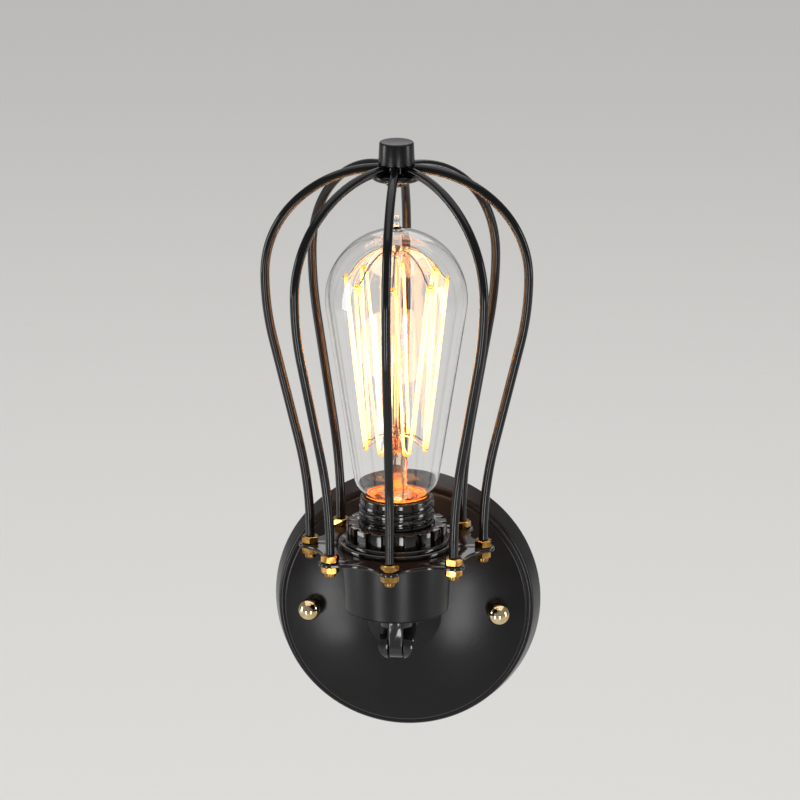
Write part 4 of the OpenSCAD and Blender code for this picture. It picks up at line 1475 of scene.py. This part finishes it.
    def glow(self) -> None:
        """Sets up the light that the filament throws on the cage, as one soft warm ball."""
        low, high = self.hook_heights()
        data = bpy.data.lights.new("filament_glow", "POINT")
        data.shadow_soft_size = self.glow_r * MM
        data.energy = self.glow_power
        data.color = linear(self.glow_colour)[:3]
        middle = Matrix.Translation((0, 0, (low + high) / 2 * MM))
        lamp = placed("filament_glow", data, self.packed.lamp_axis() @ middle)
        lamp.visible_camera = lamp.visible_transmission = False
        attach(lamp, Body.BULB.value)

    def build(self) -> None:
        """Makes the glass and what it holds, and dresses the cap."""
        self.envelope()
        self.stem()
        self.hooks()
        self.filament()
        self.glow()
        self.packed.finish_nodes(HOOK_WIRE, "lead_in_wires")
        self.packed.finish_nodes(CAP_BRASS, "bulb_cap")
        self.packed.finish_nodes(BLACK_GLASS, "cap_insulator")
        self.packed.finish_nodes(SOLDER, "cap_contact")
        # The cement's colour carries painted glow of the filament's light as well as its own amber.
        self.packed.finish_nodes(CEMENT_WITH_PAINTED_GLOW, "cap_cement")


# ---- camera and light ----


def placed(name: str, data: bpy.types.ID, place: Matrix) -> bpy.types.Object:
    """Adds an object to the scene.

    Args:
        name: The object's name.
        data: Its mesh, lamp or camera.
        place: Where it stands and how it is turned.

    Returns:
        The object.
    """
    thing = bpy.data.objects.new(name, data)
    thing.matrix_world = place
    bpy.context.scene.collection.objects.link(thing)
    return thing


def direction(azimuth: float, elevation: float) -> Vector:
    """Finds a direction.

    Args:
        azimuth: Its angle from the front, in degrees, to the right.
        elevation: Its angle above the level, in degrees.

    Returns:
        The direction, of length 1.
    """
    turn, rise = math.radians(azimuth), math.radians(elevation)
    level = math.cos(rise)
    return Vector((math.sin(turn) * level, -math.cos(turn) * level, math.sin(rise)))


def looking(place: Vector, aim: Vector) -> Matrix:
    """A camera's or a lamp's place and turn, from where it stands and the way it looks."""
    return Matrix.Translation(place) @ aim.to_track_quat("-Z", "Y").to_matrix().to_4x4()


@dataclass(frozen=True)
class Viewpoint:
    """The photograph's camera: where it stands and where the origin falls in its picture."""

    azimuth: float = 4.4
    elevation: float = 18.5
    distance: float = 2.5
    lens: float = 248.6
    sensor: float = 36
    origin_u: float = 408.06
    origin_v: float = 595.09

    def build(self) -> None:
        """Sets up the camera, aimed so that the origin falls on its pixel."""
        outward = direction(self.azimuth, self.elevation)
        right = direction(self.azimuth + 90, 0)
        up = outward.cross(right)
        pixels = self.lens / self.sensor * PICTURE_SIDE
        middle = PICTURE_SIDE / 2
        across, rise = (middle - self.origin_u) / pixels, (self.origin_v - middle) / pixels
        data = bpy.data.cameras.new("photo_camera")
        data.lens = self.lens
        data.sensor_width = self.sensor
        view = looking(outward * self.distance, right * across + up * rise - outward)
        bpy.context.scene.camera = placed("photo_camera", data, view)


@dataclass(frozen=True)
class Softbox:
    """A rectangular soft light in metres, placed by its direction from the lamp."""

    name: str
    azimuth: float
    elevation: float
    distance: float
    width: float
    height: float
    radiance: float

    def build(self, aim: Vector) -> None:
        """Sets up the light, which no camera sees, not even through glass.

        Args:
            aim: The point that it faces.
        """
        outward = direction(self.azimuth, self.elevation)
        data = bpy.data.lights.new(self.name, "AREA")
        data.shape = "RECTANGLE"
        data.size, data.size_y = self.width, self.height
        data.energy = self.radiance * math.pi * self.width * self.height
        lamp = placed(self.name, data, looking(aim + outward * self.distance, -outward))
        lamp.visible_camera = lamp.visible_transmission = False


@dataclass(frozen=True)
class Studio:
    """A pale floor under soft light."""

    floor_z: float = -0.75
    floor_side: float = 40
    floor_colour: str = "#d9d8d5"
    floor_roughness: float = 0.8
    world_colour: str = "#ffffff"
    world_strength: float = 0.35
    aim: tuple[float, float, float] = (0, -0.06, 0.09)
    softboxes: tuple[Softbox, ...] = (
        Softbox("left_panel", -84, 3, 3.2, 1.0, 1.8, 8),
        Softbox("right_panel", 84, 3, 3.2, 0.75, 1.8, 8),
        Softbox("left_front_strip", -34, -21, 1.3, 0.24, 0.6, 10),
        Softbox("right_front_strip", 18, -21, 1.3, 0.2, 0.6, 12.5),
        Softbox("back_panel", 180, 30, 3.2, 2.0, 1.2, 1.5),
        Softbox("overhead", 180, 82, 6, 9, 9, 1.3),
    )

    def build(self) -> None:
        """Makes the floor, the world and the lights."""
        bpy.context.scene.view_settings.view_transform = "Standard"
        mesh = bmesh.new()
        bmesh.ops.create_grid(mesh, x_segments=8, y_segments=8, size=self.floor_side / 2)
        data = bpy.data.meshes.new("floor")
        mesh.to_mesh(data)
        mesh.free()
        data.transform(Matrix.Translation((0, 0, self.floor_z)))
        paint = Finish("floor_paint", "", self.floor_colour, self.floor_roughness)
        data.materials.append(paint.material())
        floor = placed("floor", data, Matrix.Identity(4))
        floor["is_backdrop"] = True
        world = bpy.data.worlds.new("studio")
        world.use_nodes = True
        sky = world.node_tree.nodes["Background"]
        sky.inputs["Color"].default_value = linear(self.world_colour)
        sky.inputs["Strength"].default_value = self.world_strength
        bpy.context.scene.world = world
        for softbox in self.softboxes:
            softbox.build(Vector(self.aim))


def corners() -> list[list[float]]:
    """The whole object's lowest and highest corners, as plain lists."""
    return [[float(x) for x in corner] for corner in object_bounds()]


def main() -> None:
    """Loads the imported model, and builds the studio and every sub-assembly."""
    logging.basicConfig(level=logging.INFO, format="%(message)s")
    packed = Packed(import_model()["nodes"])
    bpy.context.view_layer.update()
    Viewpoint().build()
    Studio().build()
    for assembly in (WallPlate, Stem, Knuckle, Lampholder, Cage, Bulb):
        assembly(packed).build()


if __name__ == "__main__":
    main()
